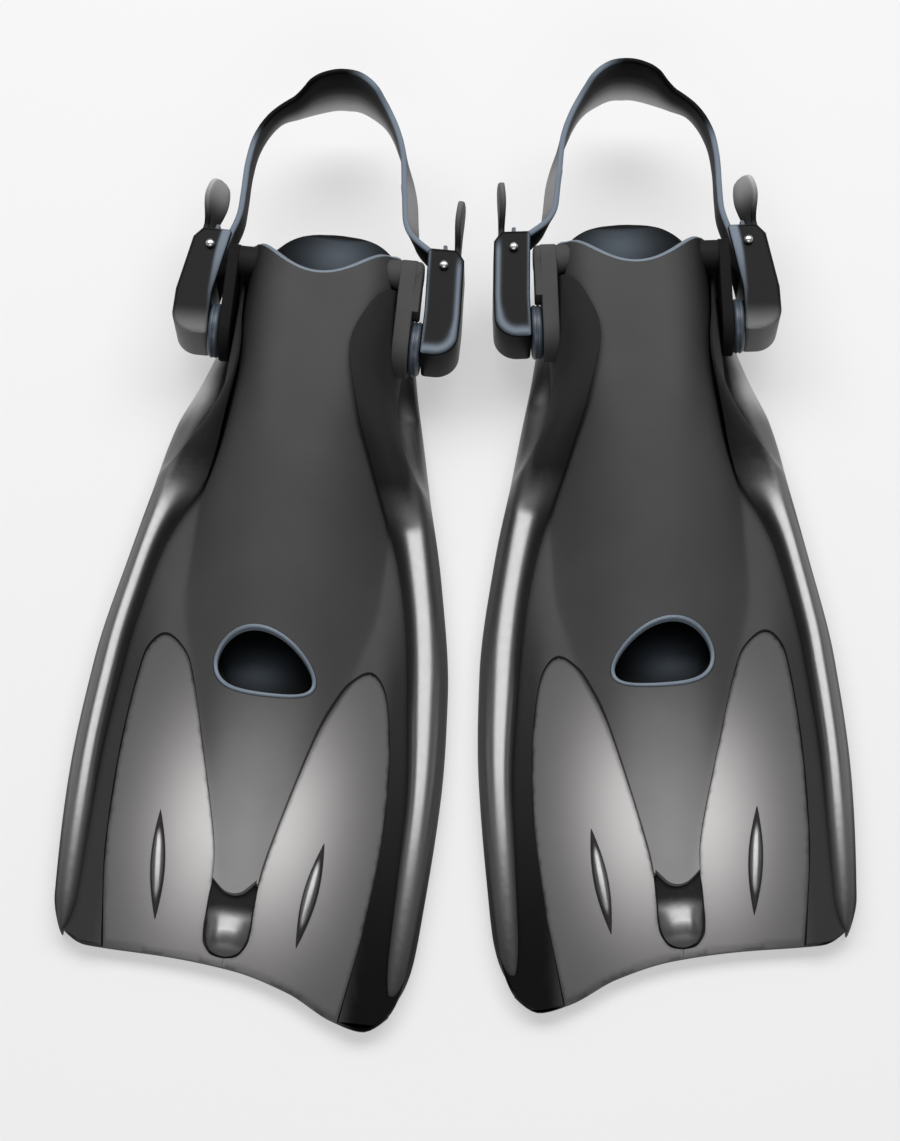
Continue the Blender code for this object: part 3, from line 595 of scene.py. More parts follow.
def panel_outline(part, past_tip=0.0):
    """Outline of a panel, whose edge at the tip a cutter carries further out."""
    edge = [(x, y - past_tip) for x, y in tip_edge(*PANEL_TIP_X[part], 24)]
    if part == "lateral":
        edge.reverse()
    rest = PANEL_OUTER[part][::-1] + PANEL_CROWN[part][::-1] + PANEL_INNER[part][::-1]
    return edge + through(rest, 6)


def body_row(y_of, y_side, count, wider=0.0):
    """Evenly spaced points over the body from side to side."""
    low = along(BODY_SIDE["lateral"], y_side) - wider * TIP_CORNER["lateral"]
    high = along(BODY_SIDE["medial"], y_side) + wider * TIP_CORNER["medial"]
    plan = [(x, y_of(x)) for x in spread(low, high, 500)]
    return resample([(x, y, crest(x, y)) for x, y in plan], count)


def body_shape():
    """The rubber body before it is hollowed: a web and the pocket's dome."""
    sections = []
    for t in (0.0, 0.1, 0.25, 0.5, 0.75):
        y_side = TIP_SIDE_Y + (TIP_ROW_Y - TIP_SIDE_Y) * t
        sections.append(body_row(lambda x: along(TIP, x) + (y_side - along(TIP, x)) * t, y_side, 121, 1 - t))
    for y in spread(TIP_ROW_Y, HEEL_END, 119):
        sections.append(body_row(lambda x: y, y, 121))
    floor = SOLE_TOP + GAP
    return loft([section + [Vector((p.x, p.y, floor)) for p in reversed(section)] for section in sections])


def cavity_shape():
    """The room for the foot, open at the heel and at the sole."""
    sections = []
    for y in [184, 187, 190, 195, 200] + spread(208, 520, 30):
        half, top = along(FOOT_HALF, y), along(FOOT_TOP, y)
        arch = []
        for angle in spread(0, pi, 41):
            swing = copysign(abs(cos(angle)) ** 0.75, cos(angle))
            z = SOLE_TOP + (top - SOLE_TOP) * abs(sin(angle)) ** 0.75
            arch.append((AXIS_X + half * swing, y, z))
        sections.append(arch + [(AXIS_X - half, y, 0), (AXIS_X + half, y, 0)])
    return loft(sections)


def collar_profile(x):
    """(y, z) of the instep's edge and of the pocket's sides behind it."""
    y = COLLAR_Y + COLLAR_SWEEP * min(((x - AXIS_X) / COLLAR_HALF) ** 2, 1.2)
    return through([(y - 4, 110), (y, 66), (y + 4, 50), (461, 26), (468, 5), (530, 5)], 5)


def collar_shape():
    """What is cut away above and behind the instep's edge."""
    return loft([[(x, y, z) for y, z in collar_profile(x)] + [(x, 530, 110)] for x in spread(-62, 66, 49)])


def collar_path():
    """Path along the instep's edge, drawn in from the outer surface."""
    path = []
    for p in body_row(lambda x: 440.0, 440.0, 91):
        z = p.z - LIP_DROP
        if z < 17:
            continue
        profile = collar_profile(p.x)
        (ya, za), (yb, zb) = next(pair for pair in zip(profile, profile[1:]) if pair[1][1] <= z)
        y = ya + (yb - ya) * (z - za) / (zb - za)
        path.append((AXIS_X + (p.x - AXIS_X) * (1 - LIP_IN / DOME_HALF[-1][1]), y, z))
    return path


def vent_outline(shrink):
    """The vent's egg outline, drawn in by a distance."""
    lean = radians(VENT_LEAN)
    points = []
    for angle in full_turn(72):
        reach = (VENT_HALF[0] - shrink) * cos(angle)
        across = (VENT_HALF[1] - shrink) * sin(angle) * (1 - 0.16 * cos(angle))
        points.append((VENT_AT[0] + reach * cos(lean) - across * sin(lean),
                       VENT_AT[1] + reach * sin(lean) + across * cos(lean)))
    return points


def vent_rim_shape():
    """The rounded lip that lines the vent."""
    outer, inner = vent_outline(GAP), vent_outline(GAP + 2.2)
    sections = []
    for (x, y), (u, v) in zip(outer, inner):
        height = crest(x, y)
        arch = [(x, y, height - 3)]
        for a in spread(0, pi, 9):
            t = 0.5 - 0.5 * cos(a)
            arch.append((x + (u - x) * t, y + (v - y) * t, height + 0.2 + 0.9 * sin(a)))
        arch.append((u, v, height - 3))
        sections.append(arch)
    return loft(sections, closed_path=True)


def pocket_shape():
    """The rubber body, hollow and open at the vent and the heel."""
    seats = [prism(offset(panel_outline(part, 6.0), GAP), *CUT_Z) for part in PARTS]
    seats += [prism(offset(rib_outline(), GAP), *CUT_Z), prism(RIB_NOSE, *CUT_Z)]
    vent = prism(vent_outline(0), 14, 80)
    return carved(body_shape(), [cavity_shape(), collar_shape(), vent] + seats,
                  [shape for part in PARTS for shape in (lug_shape(part), hump_shape(*LUG_SPAN[part]))])


def pocket_grey_and_painted_light(x, y, z):
    """Grey of the rubber, dark on the webs, with painted shade inside the pocket and on its lateral top
    towards the heel, and a painted highlight that makes it palest on the tongue.
    """
    # Painted shade: the inside of the pocket is darkened.
    if y > 186 and abs(x - AXIS_X) < along(FOOT_HALF, y) + 0.8 and z < crest(x, y) - 2.2:
        return 0.006, 0.0073, 0.009
    grey = 0.042
    # Painted highlight: the tongue is made paler, as a soft pool of light.
    tongue = (1 - ramp(95, 215, y)) * (1 - ramp(14, 40, abs(x - AXIS_X)))
    grey += (0.155 - grey) * tongue
    # Painted shade: the pocket's lateral top towards the heel is darkened.
    lateral_painted_shade = ramp(300, 380, y) * ramp(12, 42, AXIS_X - x)
    grey += (0.006 - grey) * 0.9 * lateral_painted_shade
    web = (1 - ramp(190, 300, y)) * ramp(56, 72, abs(x))
    shade = 0.02 if x < 0 else 0.001 + 0.015 * ramp(20, 240, y)
    grey += (shade - grey) * web
    return (grey,) * 3


def rib_outline():
    """The centre rib in plan, round at the tip and hollow around the tongue."""
    left = [(-12.3, 79.0), (-12.4, 66.0), (-12.4, 52.0), (-11.2, 44.5), (-7.6, 38.7), (-0.8, 36.3)]
    right = [(6.0, 38.7), (9.6, 44.5), (10.8, 52.0), (10.9, 66.0), (11.0, 79.0)]
    return through(left + right, 6) + through(TONGUE_TIP, 6)


def rib_rise(x, y):
    """The centre rib's crown, which dips towards the tongue."""
    across, back = x - RIB_PEAK[0], max(0.0, RIB_PEAK[1] - y)
    reach = (across / (9.4 if across < 0 else 14.0)) ** 2 + (back / 16.0) ** 2
    return (RIB_RISE + along(RIB_DIP, y)) * max(0.0, 1 - reach)


def panel_grey_and_painted_glow(part):
    """Grey of a blade panel, with a painted highlight that makes it palest beside the tongue."""
    def tint(x, y, z):
        # Painted highlight: a soft glow of light beside the tongue.
        near = exp(-((SIGN[part] * x - 14) / 34) ** 2 - ((y - 112) / 62) ** 2)
        return tuple((0.036 + 0.31 * near) * share for share in (1.01, 0.975, 0.975))
    return tint


def lens_rib(part):
    """A slim raised rib with pointed ends, standing on its panel."""
    start, end = (Vector(p) for p in LENS_RIBS[part])
    way = (end - start).normalized()
    across = Vector((way.y, -way.x))
    arch = arc((0, 0), 1, spread(pi, 0, 17))
    sections = []
    for t in spread(0, 1, 41):
        full = max(sin(pi * t), 0.02)
        centre = start + (end - start) * t
        half, rise = full * LENS_WIDTH / 2, full ** 0.7 * LENS_RISE
        sections.append([(*(centre + across * (a * half)), LENS_FOOT + b * rise) for a, b in arch])
    return loft(sections)


def between_sides(ys, inset, half_at=lambda y: inf):
    """Both sides of the body, drawn in by an inset and to any half width given."""
    medial = [(min(AXIS_X + half_at(y), along(BODY_SIDE["medial"], y) - inset), y) for y in ys]
    lateral = [(max(AXIS_X - half_at(y), along(BODY_SIDE["lateral"], y) + inset), y) for y in ys]
    return medial + lateral[::-1]


def blade_outline():
    edge = [(x, y + 0.8) for x, y in tip_edge(-82, 89, 60)]
    return edge + between_sides(spread(50, PLATE_END, 40), 0.6)


def footbed_shape():
    """The sole, with grooves across its tread."""
    ys = spread(PLATE_END + GAP, 460, 50) + heel_rows(463, HEEL_END)
    shape = slab(between_sides(ys, 0.1), 0, SOLE_TOP, 0.7)
    grooves = []
    for y in spread(246, 476, 20):
        groove = [(-30, y), (2, y + 6), (34, y), (34, y + 3.5), (2, y + 9.5), (-30, y + 3.5)]
        grooves.append(prism(groove, -1, 1.4))
    return carved(shape, grooves)


def heel_rows(low, high):
    """Places along Y that close up towards the round end of the heel."""
    return [low + (high - low) * sin(a) for a in quarter(30)]


def insole_outline():
    """The liner on the footbed."""
    ys = [188, 190, 194, 200, 208] + spread(218, 462, 40) + heel_rows(464, HEEL_END - 3)
    return between_sides(ys, 2, lambda y: along(INSOLE_HALF, y))


def insole_dark_and_painted_light(x, y, z):
    """Nearly black, with painted light in blue-grey in the middle of each opening."""
    # Painted light: blue-grey pools in the middle of the heel opening and under the vent.
    heel = exp(-((x - 6) / 20) ** 2 - ((y - 478) / 15) ** 2)
    toe = exp(-((x + 4) / 15) ** 2 - ((y - 204) / 10) ** 2)
    return tuple(c * (0.01 + 0.5 * heel + 0.45 * toe) for c in BLUE_GREY)


# ---- rails ----

def low_rail(sign, inner, edge, outer, y):
    """Outer curve of a rail along the blade, from its crest down to the floor."""
    width = abs(outer - inner)
    rise, lean, drop = along(CREST_RISE, y), along(CREST_LEAN, y), along(CREST_DROP, y)
    start, end = Vector((inner, edge)), Vector((outer, RAIL_FOOT))
    pull_a = start + Vector((sign * width * lean, rise))
    pull_b = Vector((outer, drop))
    return [(1 - t) ** 3 * start + 3 * (1 - t) ** 2 * t * pull_a + 3 * (1 - t) * t * t * pull_b + t ** 3 * end
            for t in spread(0, 1, 33)]


def dome_x(sign, z, y):
    """How far across the dome's surface reaches at a height."""
    top, half, flat, flare = dome_at(y)
    full = max(0.0, min(1.0, (z - WEB_TOP) / (top - WEB_TOP)))
    return AXIS_X + sign * half * (1 - full ** (1 / flare)) ** (1 / flat)


def over_dome(sign, inner, foot, y, lift, count):
    """Points down the dome's side from a rail's inner edge, lifted off the surface."""
    start = crest(inner, y)
    points = []
    for angle in quarter(count):
        z = foot + (start - foot) * cos(angle)
        x = dome_x(sign, z, y)
        turn = pi / 2 * (abs(x - AXIS_X) / along(DOME_HALF, y)) ** 3
        points.append(Vector((x + sign * lift * sin(turn), z + lift * cos(turn))))
    return points


def on_dome(inner, y):
    return y > DOME_RAIL_Y and abs(inner - AXIS_X) < 0.97 * along(DOME_HALF, y)


def high_rail(sign, inner, outer, thick, y):
    """Outer curve of a rail's shoulder, which lies on the pocket's side."""
    curve = over_dome(sign, inner, min(SHOULDER_FOOT, crest(inner, y) - 1), y, thick, 6)
    curve += [Vector((curve[-1].x, SHOULDER_FOOT - 4)), Vector((outer, 11)), Vector((outer, RAIL_FOOT))]
    return [Vector(p) for p in through(curve, 4)]


def rail_under(sign, inner, side, y):
    """Inner curve of a rail, which clears the body."""
    lift = GAP + along(RAIL_SLACK, y)
    if on_dome(inner, y):
        curve = over_dome(sign, inner, WEB_TOP, y, lift, 9)
        curve = [Vector((sign * min(sign * p.x, sign * side), max(p.y, WEB_TOP + lift))) for p in curve]
        return curve + [Vector((side, WEB_TOP + lift))]
    return [Vector((x, crest(x, y) + lift)) for x in spread(inner, side, 10)]


def rail_profile(part, y, nose):
    """Closed section of a rail, drawn in where its nose is round."""
    sign = SIGN[part]
    inner, outer = along(RAIL_IN[part], y), along(RAIL_OUT[part], y)
    side = along(BODY_SIDE[part], y) + sign * (GAP + along(RAIL_ROOM, y))
    thick = along(RAIL_EDGE, y)
    top = low_rail(sign, inner, crest(inner, y) + GAP + thick, outer, y)
    if on_dome(inner, y):
        mix = along(SHOULDER_MIX, y)
        top = [a.lerp(b, mix) for a, b in zip(top, high_rail(sign, inner, outer, thick, y))]
    base = [Vector((outer - sign * 0.4, 1.2)), Vector((outer - sign * 1.6, 0)), Vector((side, 0))]
    under = rail_under(sign, inner, side, y)[::-1]
    middle = inner + (outer - inner) * (0.3 if sign > 0 else 0.7)
    section = []
    for p in top + base + under:
        height = p.y if p.y < WEB_TOP else WEB_TOP + (p.y - WEB_TOP) * (0.06 + 0.94 * nose)
        section.append((middle + (p.x - middle) * (0.12 + 0.88 * nose), y, height))
    return section


def rail_shape(part):
    start, length = RAIL_NOSE[part]
    ys = [start + length * (1 - cos(a)) for a in quarter(20)]
    ys += spread(start + length + 2, RAIL_END_Y, 130)
    sections = []
    for y in ys:
        nose = sqrt(1 - (1 - min((y - start) / length, 1.0)) ** 2)
        sections.append(rail_profile(part, y, nose))
    return loft(sections)


def rail_black_and_painted_highlight(part):
    """Black, and duller on the outer flank, towards the tip and on the shoulder, with a painted highlight on
    the lateral shoulder's outer flank and a faintly grey inner band on the medial shoulder.
    """
    def tint(x, y, z):
        inner, outer = along(RAIL_IN[part], y), along(RAIL_OUT[part], y)
        across = (x - inner) / (outer - inner)
        outer_flank = ramp(0.76, 0.94, across) * (1 - ramp(290, 320, y))
        dull = 1.0 + 1.5 * (1 - ramp(10, 150, y)) + 1.2 * outer_flank
        if part == "lateral":
            # Painted highlight: the lateral shoulder's outer flank is made pale, fading to black inwards.
            grey = 0.3 * ramp(345, 380, y) * ramp(0.6, 0.95, across)
            return *(c + grey for c in BLACK), dull + 2.0 * ramp(285, 330, y) * (1 - ramp(0.55, 0.85, across))
        shoulder = ramp(285, 328, y) * (1 - ramp(0.5, 0.9, across))
        grey = 0.004 * ramp(300, 335, y) * (1 - ramp(0.3, 0.5, across))
        return *(c + grey for c in BLACK), dull + 2.8 * shoulder
    return tint


# ---- swivels and buckles ----

def teardrop(radius, far):
    """Outline around a circle at the origin and a smaller one further back and up."""
    back, up, small = far
    heading = atan2(up, back)
    wrap = acos((radius - small) / hypot(back, up))
    big = arc((0, 0), radius, spread(heading + wrap, heading - wrap + tau, 41))
    return big + arc((back, up), small, spread(heading - wrap, heading + wrap, 17))


def beside_pivot(y, z, x):
    """A point whose outline is drawn about the pivot, seen along X."""
    return x, PIVOT_Y + y, PIVOT_Z + z


def anchor_shape(part):
    plate = slab(teardrop(ANCHOR_RADIUS, ANCHOR_BACK), *ANCHOR[part], 0.8, beside_pivot)
    if part == "lateral":
        return plate
    fill = slab(ANCHOR_FILL, EAR_IN, EAR_OUT - 0.3, 1.0, beside_pivot)
    return carved(plate, [], [hump_shape(EAR_IN, EAR_OUT), fill])


def lug_shape(part):
    """What joins an anchor to the pocket's side, just behind the rail's end."""
    return slab(LUG, *LUG_SPAN[part], 0.4, lambda y, z, x: (x, y, z))


def anchor_grey_and_painted_shade(x, y, z):
    """Pocket grey, with painted shade that makes the lateral anchor darker."""
    # The lateral anchor's near-black is painted shade.
    return (0.044 if x > 0 else 0.006,) * 3


def hump_shape(low, high):
    """A round bar across the anchor's upper end."""
    y, z, radius = ANCHOR_BACK
    radius -= 0.5
    side = 1 if high > 0 else -1
    start, end = (low, high) if side > 0 else (high, low)
    profile = [(start, radius)]
    profile += [(end - side * HUMP_ROUND * (1 - sin(a)), radius - HUMP_ROUND * (1 - cos(a)))
                for a in quarter(8)]
    return lathe(profile, 48, lambda a, b, c: beside_pivot(y + b, z + c, a))


def disc_out(part):
    """The place of the swivel disc's outer face, and which way is outwards."""
    if part == "medial":
        return ANCHOR[part][1] + GAP + DISC_THICK, 1
    return ANCHOR[part][0] - GAP - DISC_THICK, -1


def post_shape(part):
    """Swivel post: a thick disc with a groove, a shaft and a retaining head."""
    face, sign = disc_out(part)
    r = DISC_RADIUS
    profile = [(-6, 4), (-6, r - 2.2), (-5.6, r - 1), (-4.9, r - 0.3), (-4.2, r), (-3.5, r), (-3.2, r - 0.6),
               (-2.6, r - 0.6), (-2.3, r), (-1.6, r), (-0.8, r - 0.4), (-0.2, r - 1.1), (0, r - 2),
               (0, POST_RADIUS), (3.6, POST_RADIUS), (3.6, POST_HEAD), (4.6, POST_HEAD),
               (POST_REACH, POST_HEAD - 0.7)]
    return lathe(profile, 64, lambda a, b, c: beside_pivot(b, c, face + sign * a))


class BuckleFrame:
    """Maps the buckle's own plan onto the strap's frame."""

    def __init__(self, part):
        face, self.sign = disc_out(part)
        self.base = face + self.sign * GAP
        self.slant = tan(radians(TOE_IN[part]))

    def plan(self, x, y):
        bent = x - self.slant * max(0.0, y - TOE_START)
        return self.base + self.sign * bent, y

    def place(self, x, y, z):
        return (*self.plan(x, y), z)


def buckle_outline():
    front, back = BUCKLE_LENGTH
    centre = (BUCKLE_WIDTH - BUCKLE_ROUND, front + BUCKLE_ROUND)
    corner = arc(centre, BUCKLE_ROUND, spread(-pi / 2, 0, 17))
    inner = [(0.0, y) for y in spread(back - 1.5, front + 2.5, 20)]
    outer = [(BUCKLE_WIDTH, y) for y in spread(17, back - 6, 12)]
    return ([(0.3, front + 1.1), (1.1, front + 0.3), (2.5, front)] + corner + outer
            + [(BUCKLE_WIDTH - 4, back), (1.5, back)] + inner)


def buckle_room():
    """Plan of the room inside, open at the heel end and on the inner side."""
    wall, front = BUCKLE_WALL, BUCKLE_LENGTH[0] + BUCKLE_WALL
    reach, radius = BUCKLE_WIDTH - 2.4, 7.5
    corner = arc((reach - radius, front + radius), radius, spread(-pi / 2, 0, 12))
    return ([(wall, front)] + corner
            + [(reach, 17), (reach, 70), (-3, 70), (-3, BUCKLE_OPEN_Y), (wall, BUCKLE_OPEN_Y), (wall, 17)])


def upright(view, at, profile, segments):
    """A profile of (height, radius) turned about an upright axis in the buckle's plan."""
    x, y, z = view.place(*at, 0)
    return lathe(profile, segments, lambda a, b, c: (x + b, y + c, a))


def bore(view, at, radius):
    """What cuts an upright hole."""
    return upright(view, at, [(-20, radius), (20, radius)], 20)


def buckle_shape(part):
    view = BuckleFrame(part)
    inner, radius = BUCKLE_HALF - CHEEK, POST_RADIUS + 0.6
    post_hole = lathe([(-2, radius), (BUCKLE_WALL + 2, radius)], 32,
                      lambda a, b, c: (view.base + view.sign * a, b, c))
    return carved(slab(buckle_outline(), -BUCKLE_HALF, BUCKLE_HALF, 0.9, view.place), [
        prism(buckle_room(), -inner, inner, view.place),
        post_hole,
        bore(view, ROLLER_AT, STUB_RADIUS + 0.4),
        bore(view, LEVER_AT, PIN_RADIUS + GAP),
    ])


def cheek_face(part, top):
    """The crowned face of a cheek, and the colour of each of its points, painted highlights included."""
    view = BuckleFrame(part)
    verts, faces = pillow(offset(buckle_outline(), -0.5), (BUCKLE_HALF - 0.6, BUCKLE_HALF), 0.7, 2.5, 1.1)
    colours = [cheek_black_and_painted_highlights(part, x, y) for x, y, z in verts]
    return ([view.place(x, y, top * z) for x, y, z in verts], faces), colours


def cheek_black_and_painted_highlights(part, x, y):
    """Black, with painted highlights: on the medial buckle a sweep down the outer side and round the front
    and a strip along the inner edge, on the lateral buckle a strip down the inner side and a paler front.
    """
    front = BUCKLE_LENGTH[0]
    cx, cy = BUCKLE_WIDTH - BUCKLE_ROUND, front + BUCKLE_ROUND
    if y > cy:
        depth = BUCKLE_WIDTH - x
    else:
        depth = BUCKLE_ROUND - hypot(x - cx, y - cy) if x > cx else y - front
    if part == "medial":
        # Painted highlights on the medial cheek: the outer and front sweep and the inner edge strip.
        forward = 1 - ramp(cy - 8, cy + 10, y)
        sweep = exp(-((depth - 2.6 - forward) / (1.3 + 1.3 * forward)) ** 2) * (1 - ramp(44, 54, y))
        return blend(BLACK, BLUE_GREY, max(0.95 * sweep, 0.8 * (1 - ramp(0.9, 2.0, x))))
    # Painted highlights on the lateral cheek: the inner strip and the paler front.
    strip = 1.2 + 4.6 * ramp(0, 50, y)
    pale = (1 - ramp(strip - 1.2, strip + 0.6, x)) * (0.35 + 0.65 * ramp(10, 50, y))
    grey = 0.1 * (1 - ramp(front, front + 17, y)) * (1 - pale)
    return tuple(c + grey for c in blend(BLACK, BLUE_GREY, pale))


def roller_shape(part):
    """The bar that the strap turns back around."""
    span, end, r = BUCKLE_HALF - CHEEK - 0.3, BUCKLE_HALF - 0.2, ROLLER_RADIUS
    half = [(span - 0.5, r), (span, r - 0.5), (span, STUB_RADIUS), (end - 0.3, STUB_RADIUS),
            (end, STUB_RADIUS - 0.3)]
    return upright(BuckleFrame(part), ROLLER_AT, [(-a, b) for a, b in half[::-1]] + half, 28)


def rivet_shape(part):
    """The lever's pin, with a ball head above and a flat head below."""
    top = BUCKLE_HALF + GAP
    ball = [(top + BALL_RADIUS * (0.75 - 0.75 * cos(a)), BALL_RADIUS * sin(a))
            for a in spread(radians(50), radians(176), 18)]
    pin = [(-top - 0.8, 1.6), (-top - 0.5, 2.2), (-top, 2.4), (-top, PIN_RADIUS), (top, PIN_RADIUS),
           (top, ball[0][1])]
    return upright(BuckleFrame(part), LEVER_AT, pin + ball, 32)


def lever_shape(part):
    """The cam that grips the strap's tail, with a thumb tab at the heel end."""
    view = BuckleFrame(part)
    x, y = LEVER_AT
    hub = arc(LEVER_AT, 3, spread(radians(110), radians(250), 14))
    outline = hub + [(x + a, y + b) for a, b in LEVER_ARM]
    half = BUCKLE_HALF - CHEEK - 0.6
    return carved(slab(outline, -half, half, 0.35, view.place, 2), [bore(view, LEVER_AT, PIN_RADIUS + GAP)])


# ---- heel strap ----

def strap_leg(part):
    """Path in plan from the tail's end, around the roller and towards the loop."""
    view = BuckleFrame(part)
    x, y = ROLLER_AT
    turn = ROLLER_RADIUS + GAP + BAND / 2
    tail = through(TAIL[part][::-1], 8)
    back = [(x + turn, y) for y in spread(45, 8, 9)]
    bend = arc(ROLLER_AT, turn, spread(0, -pi, 17))
    lead = through([(x - turn, 9), (x - turn - 1.2, 24), (2.6, 46), (1.6, 57)], 8)
    return [view.plan(*p) for p in tail + back + bend + lead]


def strap_path():
    medial, lateral = strap_leg("medial"), strap_leg("lateral")
    bridge = through([medial[-1]] + LOOP + [lateral[-1]], 10)
    return medial + bridge[1:-1] + lateral[::-1]


def strap_heights(x, y):
    """Lower and upper edge of the band, wide at the pad with its pull tab."""
    if y < 100:
        return -BAND_HALF, BAND_HALF
    return along(PAD_LOWER, abs(x)), along(PAD_UPPER, abs(x))


def strap_section(low, high):
    """(across, height) around the band's rounded section."""
    half, edge = BAND / 2, 1.3
    points = []
    for cx, cz, start in ((half - edge, high - edge, 0), (edge - half, high - edge, 90),
                          (edge - half, low + edge, 180), (half - edge, low + edge, 270)):
        points += arc((cx, cz), edge, spread(radians(start), radians(start + 90), 5))
        if start == 90:
            points += [(-half, height) for height in spread(high - edge, low + edge, 7)[1:-1]]
        if start == 270:
            points += [(half, height) for height in spread(low + edge, high - edge, 7)[1:-1]]
    return points


def strap_shape():
    """The band, and the colour of each of its points, painted highlights and painted light included."""
    path = strap_path()
    last = len(path) - 1
    sections, colours = [], []
    for index, (x, y) in enumerate(path):
        before, after = path[max(index - 1, 0)], path[min(index + 1, last)]
        way = Vector((after[0] - before[0], after[1] - before[1])).normalized()
        low, high = strap_heights(x, y)
        from_end = min(index, last - index)
        part = "medial" if index < last / 2 else "lateral"
        turn = strap_twist(part, x, y, from_end < TAIL_POINTS)
        if from_end < 8:
            round_end = 0.35 + 0.65 * sqrt(1 - (1 - from_end / 8) ** 2)
            low, high = low * round_end, high * round_end
        section = []
        for across, height in strap_section(low, high):
            wide = across * cos(turn) + height * sin(turn)
            tall = height * cos(turn) - across * sin(turn)
            section.append((x + way.y * wide, y - way.x * wide, tall))
            up = (height - low) / (high - low)
            if from_end < TAIL_POINTS:
                colours.append(tail_black_and_painted_highlight(part, from_end))
            else:
                colours.append(strap_black_and_painted_light(x, y, across, up, high - height))
        sections.append(section)
    return loft(sections), colours


def strap_twist(part, x, y, in_tail):
    """How far the band turns about its own path."""
    if in_tail:
        return radians(TAIL_TWIST[part]) * ramp(60, 84, y)
    if part == "medial" and x > 0:
        return radians(-LEG_TWIST) * ramp(56, 78, y) * (1 - ramp(96, 130, y))
    return 0.0


def tail_black_and_painted_highlight(part, from_end):
    """A black strap tail, with a painted highlight that makes it palest at its end, stronger on the lateral
    tail.
    """
    pale = 1 - ramp(0, TAIL_POINTS - 3, from_end)
    grey = 0.002 + (0.3 if part == "lateral" else 0.09) * pale
    return (grey,) * 3


def strap_black_and_painted_light(x, y, across, up, below_top):
    """Black, with a painted blue-grey highlight on most of the upper edge, painted light that grows pale
    towards the lower edge of the inner face, and a painted pale patch on the medial leg's outer face.
    """
    # Painted highlight along the upper edge.
    edge = (1 - ramp(0.9, 1.5, below_top)) * (1 - ramp(112, 130, y) * (1 - ramp(0, 18, x)))
    if across < 0:
        # Painted light on the inner face, palest towards the lower edge.
        grey = 0.001 + 0.5 * (1 - ramp(0.0, 0.75, up)) ** 2.1 * (1 - 0.7 * ramp(20, 50, abs(x)))
        grey *= 0.15 + 0.85 * ramp(100, 142, y)
    else:
        # Painted highlight: a pale patch on the medial leg's outer face.
        grey = 0.004 + 0.22 * ramp(62, 80, y) * (1 - ramp(92, 130, y)) * ramp(0, 20, x)
    return blend((grey,) * 3, BLUE_GREY, edge)


# ---- putting the fins together ----

def rib_polish(x, y, z):
    """Polished on the crown and duller towards the tongue and the nose."""
    return *BLACK, 1.0 + 2.0 * ramp(55, 66, y) + 1.2 * (1 - ramp(38, 44, y))


def lens_polish(x, y, z):
    """Polished along the crest, duller down the sides and towards the pointed ends."""
    start, end = LENS_RIBS["medial" if x > 0 else "lateral"]
    low = 1 - ramp(PANEL_TOP + 2.2, PANEL_TOP + 3.2, z)
    return *BLACK, 1.0 + 1.8 * max(low, ramp(12, 26, abs(y - (start[1] + end[1]) / 2)))


def housing_black_and_painted_highlight(x, y, z):
    """Black, with a painted highlight that makes the lateral buckle's front paler."""
    grey = 0.1 * (1 - ramp(BUCKLE_LENGTH[0], BUCKLE_LENGTH[0] + 13, y)) if x < 0 else 0.0
    return tuple(c + grey for c in BLACK)


# Shapes that both fins share.
POCKET, FOOTBED = pocket_shape(), footbed_shape()
INSOLE = pillow(insole_outline(), (SOLE_TOP, SOLE_TOP + 0.3), 0.8, 3.0, 3.0)
CENTRE_RIB = pillow(rib_outline(), (PLATE_Z[1] + GAP, 7.6), 0.0, 1.0, 0.8, rib_rise)
STRAP, STRAP_COLOURS = strap_shape()
PANELS = {part: pillow(panel_outline(part), (PLATE_Z[1] + GAP, 8.4), 0.9, 1.6, 2.2) for part in PARTS}
CHEEKS = {part: {"upper": cheek_face(part, 1), "lower": cheek_face(part, -1)} for part in PARTS}


def add_blade(fin):
    fin.add("foot_pocket", POCKET, "rubber", pocket_grey_and_painted_light, 40)
    fin.add("footbed", FOOTBED, "sole")
    fin.add("insole", INSOLE, "liner", insole_dark_and_painted_light, stands=False)
    fin.add("blade_plate", slab(blade_outline(), *PLATE_Z, 0.5), "plate")
    fin.add("vent_rim", vent_rim_shape(), "rim", smooth=60)
    # The collar lip is a rounded bead along the instep's edge; its blue-grey is a painted highlight on that
    # edge.
    fin.add("collar_lip_highlight", bead(collar_path(), LIP_RADIUS), "rim", smooth=60, stands=False)
    fin.add("centre_rib", CENTRE_RIB, "gloss", rib_polish, 50)
    for part in PARTS:
        fin.add(f"{part}_panel", PANELS[part], "panel", panel_grey_and_painted_glow(part), 50)
        fin.add(f"{part}_panel_rib", lens_rib(part), "gloss", lens_polish, 60)
        fin.add(f"{part}_rail", rail_shape(part), "gloss", rail_black_and_painted_highlight(part), 50)


def add_buckle(fin, part):
    fin.add(f"{part}_anchor", anchor_shape(part), "rubber", anchor_grey_and_painted_shade)
    fin.add(f"{part}_swivel_post", post_shape(part), "swivel")
    fin.add(f"{part}_buckle", buckle_shape(part), "buckle", housing_black_and_painted_highlight, body="strap")
    for name, (shape, colours) in CHEEKS[part].items():
        fin.add(f"{part}_buckle_{name}_face", shape, "buckle", colours, 60, "strap", stands=False)
    fin.add(f"{part}_roller", roller_shape(part), "swivel", body=f"{part}_roller")
    fin.add(f"{part}_rivet", rivet_shape(part), "steel", body="strap")
    fin.add(f"{part}_lever", lever_shape(part), "swivel", body=f"{part}_lever")


# ---- floor, light and camera ----

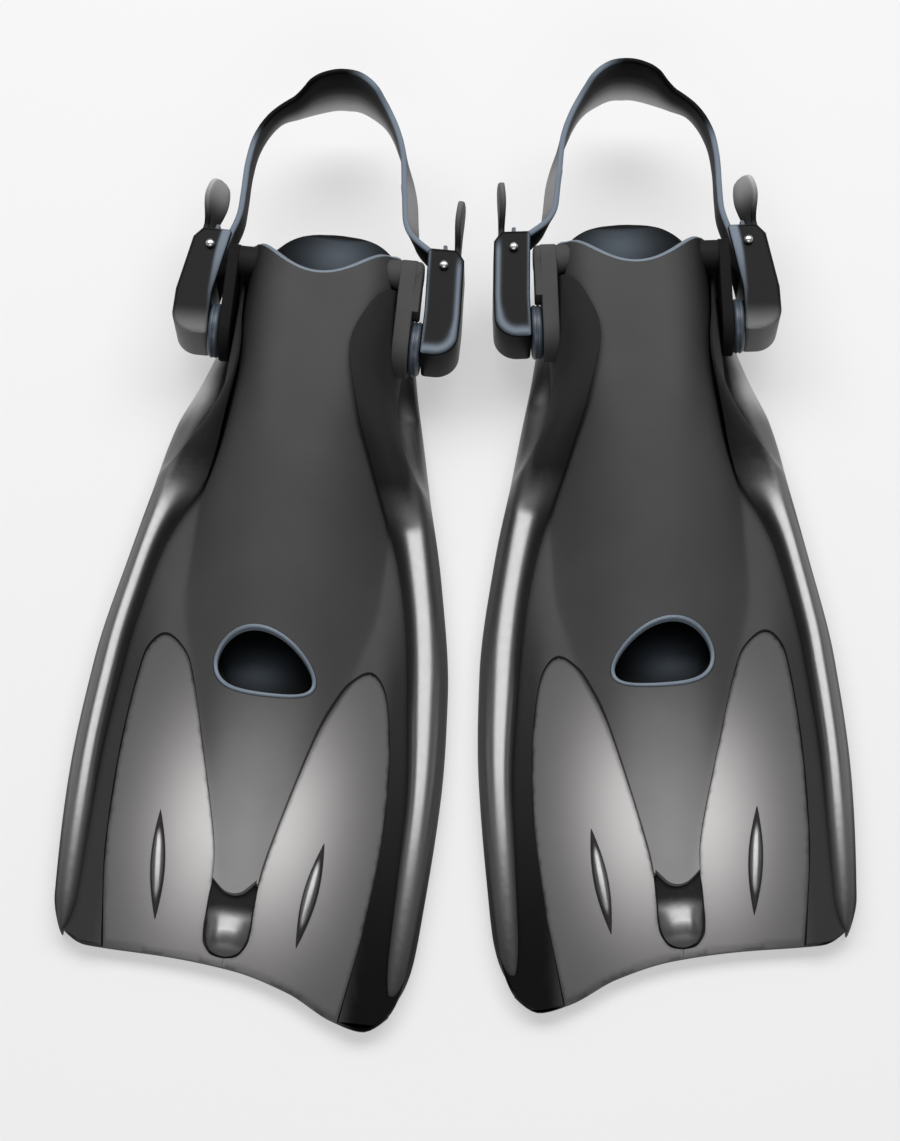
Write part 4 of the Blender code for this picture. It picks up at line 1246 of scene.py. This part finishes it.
def add_floor():
    mesh = bpy.data.meshes.new("floor")
    corners = [(-6, -6), (6, -6), (6, 6), (-6, 6)]
    mesh.from_pydata([(x, y, -0.0005) for x, y in corners], [], [(0, 1, 2, 3)])
    floor = put("floor", mesh)
    material = bpy.data.materials.new("floor")
    material.use_nodes = True
    set_inputs(material.node_tree.nodes["Principled BSDF"], Base_Color=(0.25, 0.25, 0.25, 1), Roughness=0.9,
               Emission_Color=(1, 1, 1, 1), Emission_Strength=0.45, Specular_IOR_Level=0.1)
    mesh.materials.append(material)


def add_light(name, at, size, power):
    """A wide light that points at the middle of the floor."""
    data = bpy.data.lights.new(name, "AREA")
    data.shape, data.size, data.size_y, data.energy = "RECTANGLE", size[0], size[1], power
    lamp = put(name, data)
    lamp.location = at
    lamp.rotation_euler = (Vector() - Vector(at)).to_track_quat("-Z", "Y").to_euler()


def add_camera():
    target = FINS["right"].at + Vector((122.09, 269.40, 0)) * MM
    elevation, distance = radians(62.0), 1.775
    data = bpy.data.cameras.new("camera")
    data.lens, data.sensor_width = 100.0, 36.0
    camera = put("camera", data)
    back = Vector((0, -cos(elevation), sin(elevation)))
    camera.location = target + back * distance
    camera.rotation_euler = (-back).to_track_quat("-Z", "Y").to_euler()
    bpy.context.scene.camera = camera


FINS = {side: Fin(side, mirror) for side, mirror in (("right", 1), ("left", -1))}
for each in FINS.values():
    add_blade(each)
    for each_part in PARTS:
        add_buckle(each, each_part)
    each.add("heel_strap", STRAP, "strap", STRAP_COLOURS, 60, "strap")
add_floor()
world = bpy.data.worlds.new("studio")
world.use_nodes = True
set_inputs(world.node_tree.nodes["Background"], Color=(1, 1, 1, 1), Strength=0.3)
bpy.context.scene.view_settings.view_transform = "Standard"
bpy.context.scene.world = world
add_light("key", (0, 0.75, 1.6), (2.6, 1.1), 60)
for side in (-1, 1):
    add_light(f"side_{side}", (side * 1.5, 0.8, 0.35), (1.4, 0.5), 2)
add_light("front", (0, -1.5, 1.3), (1.4, 0.7), 12)
add_camera()
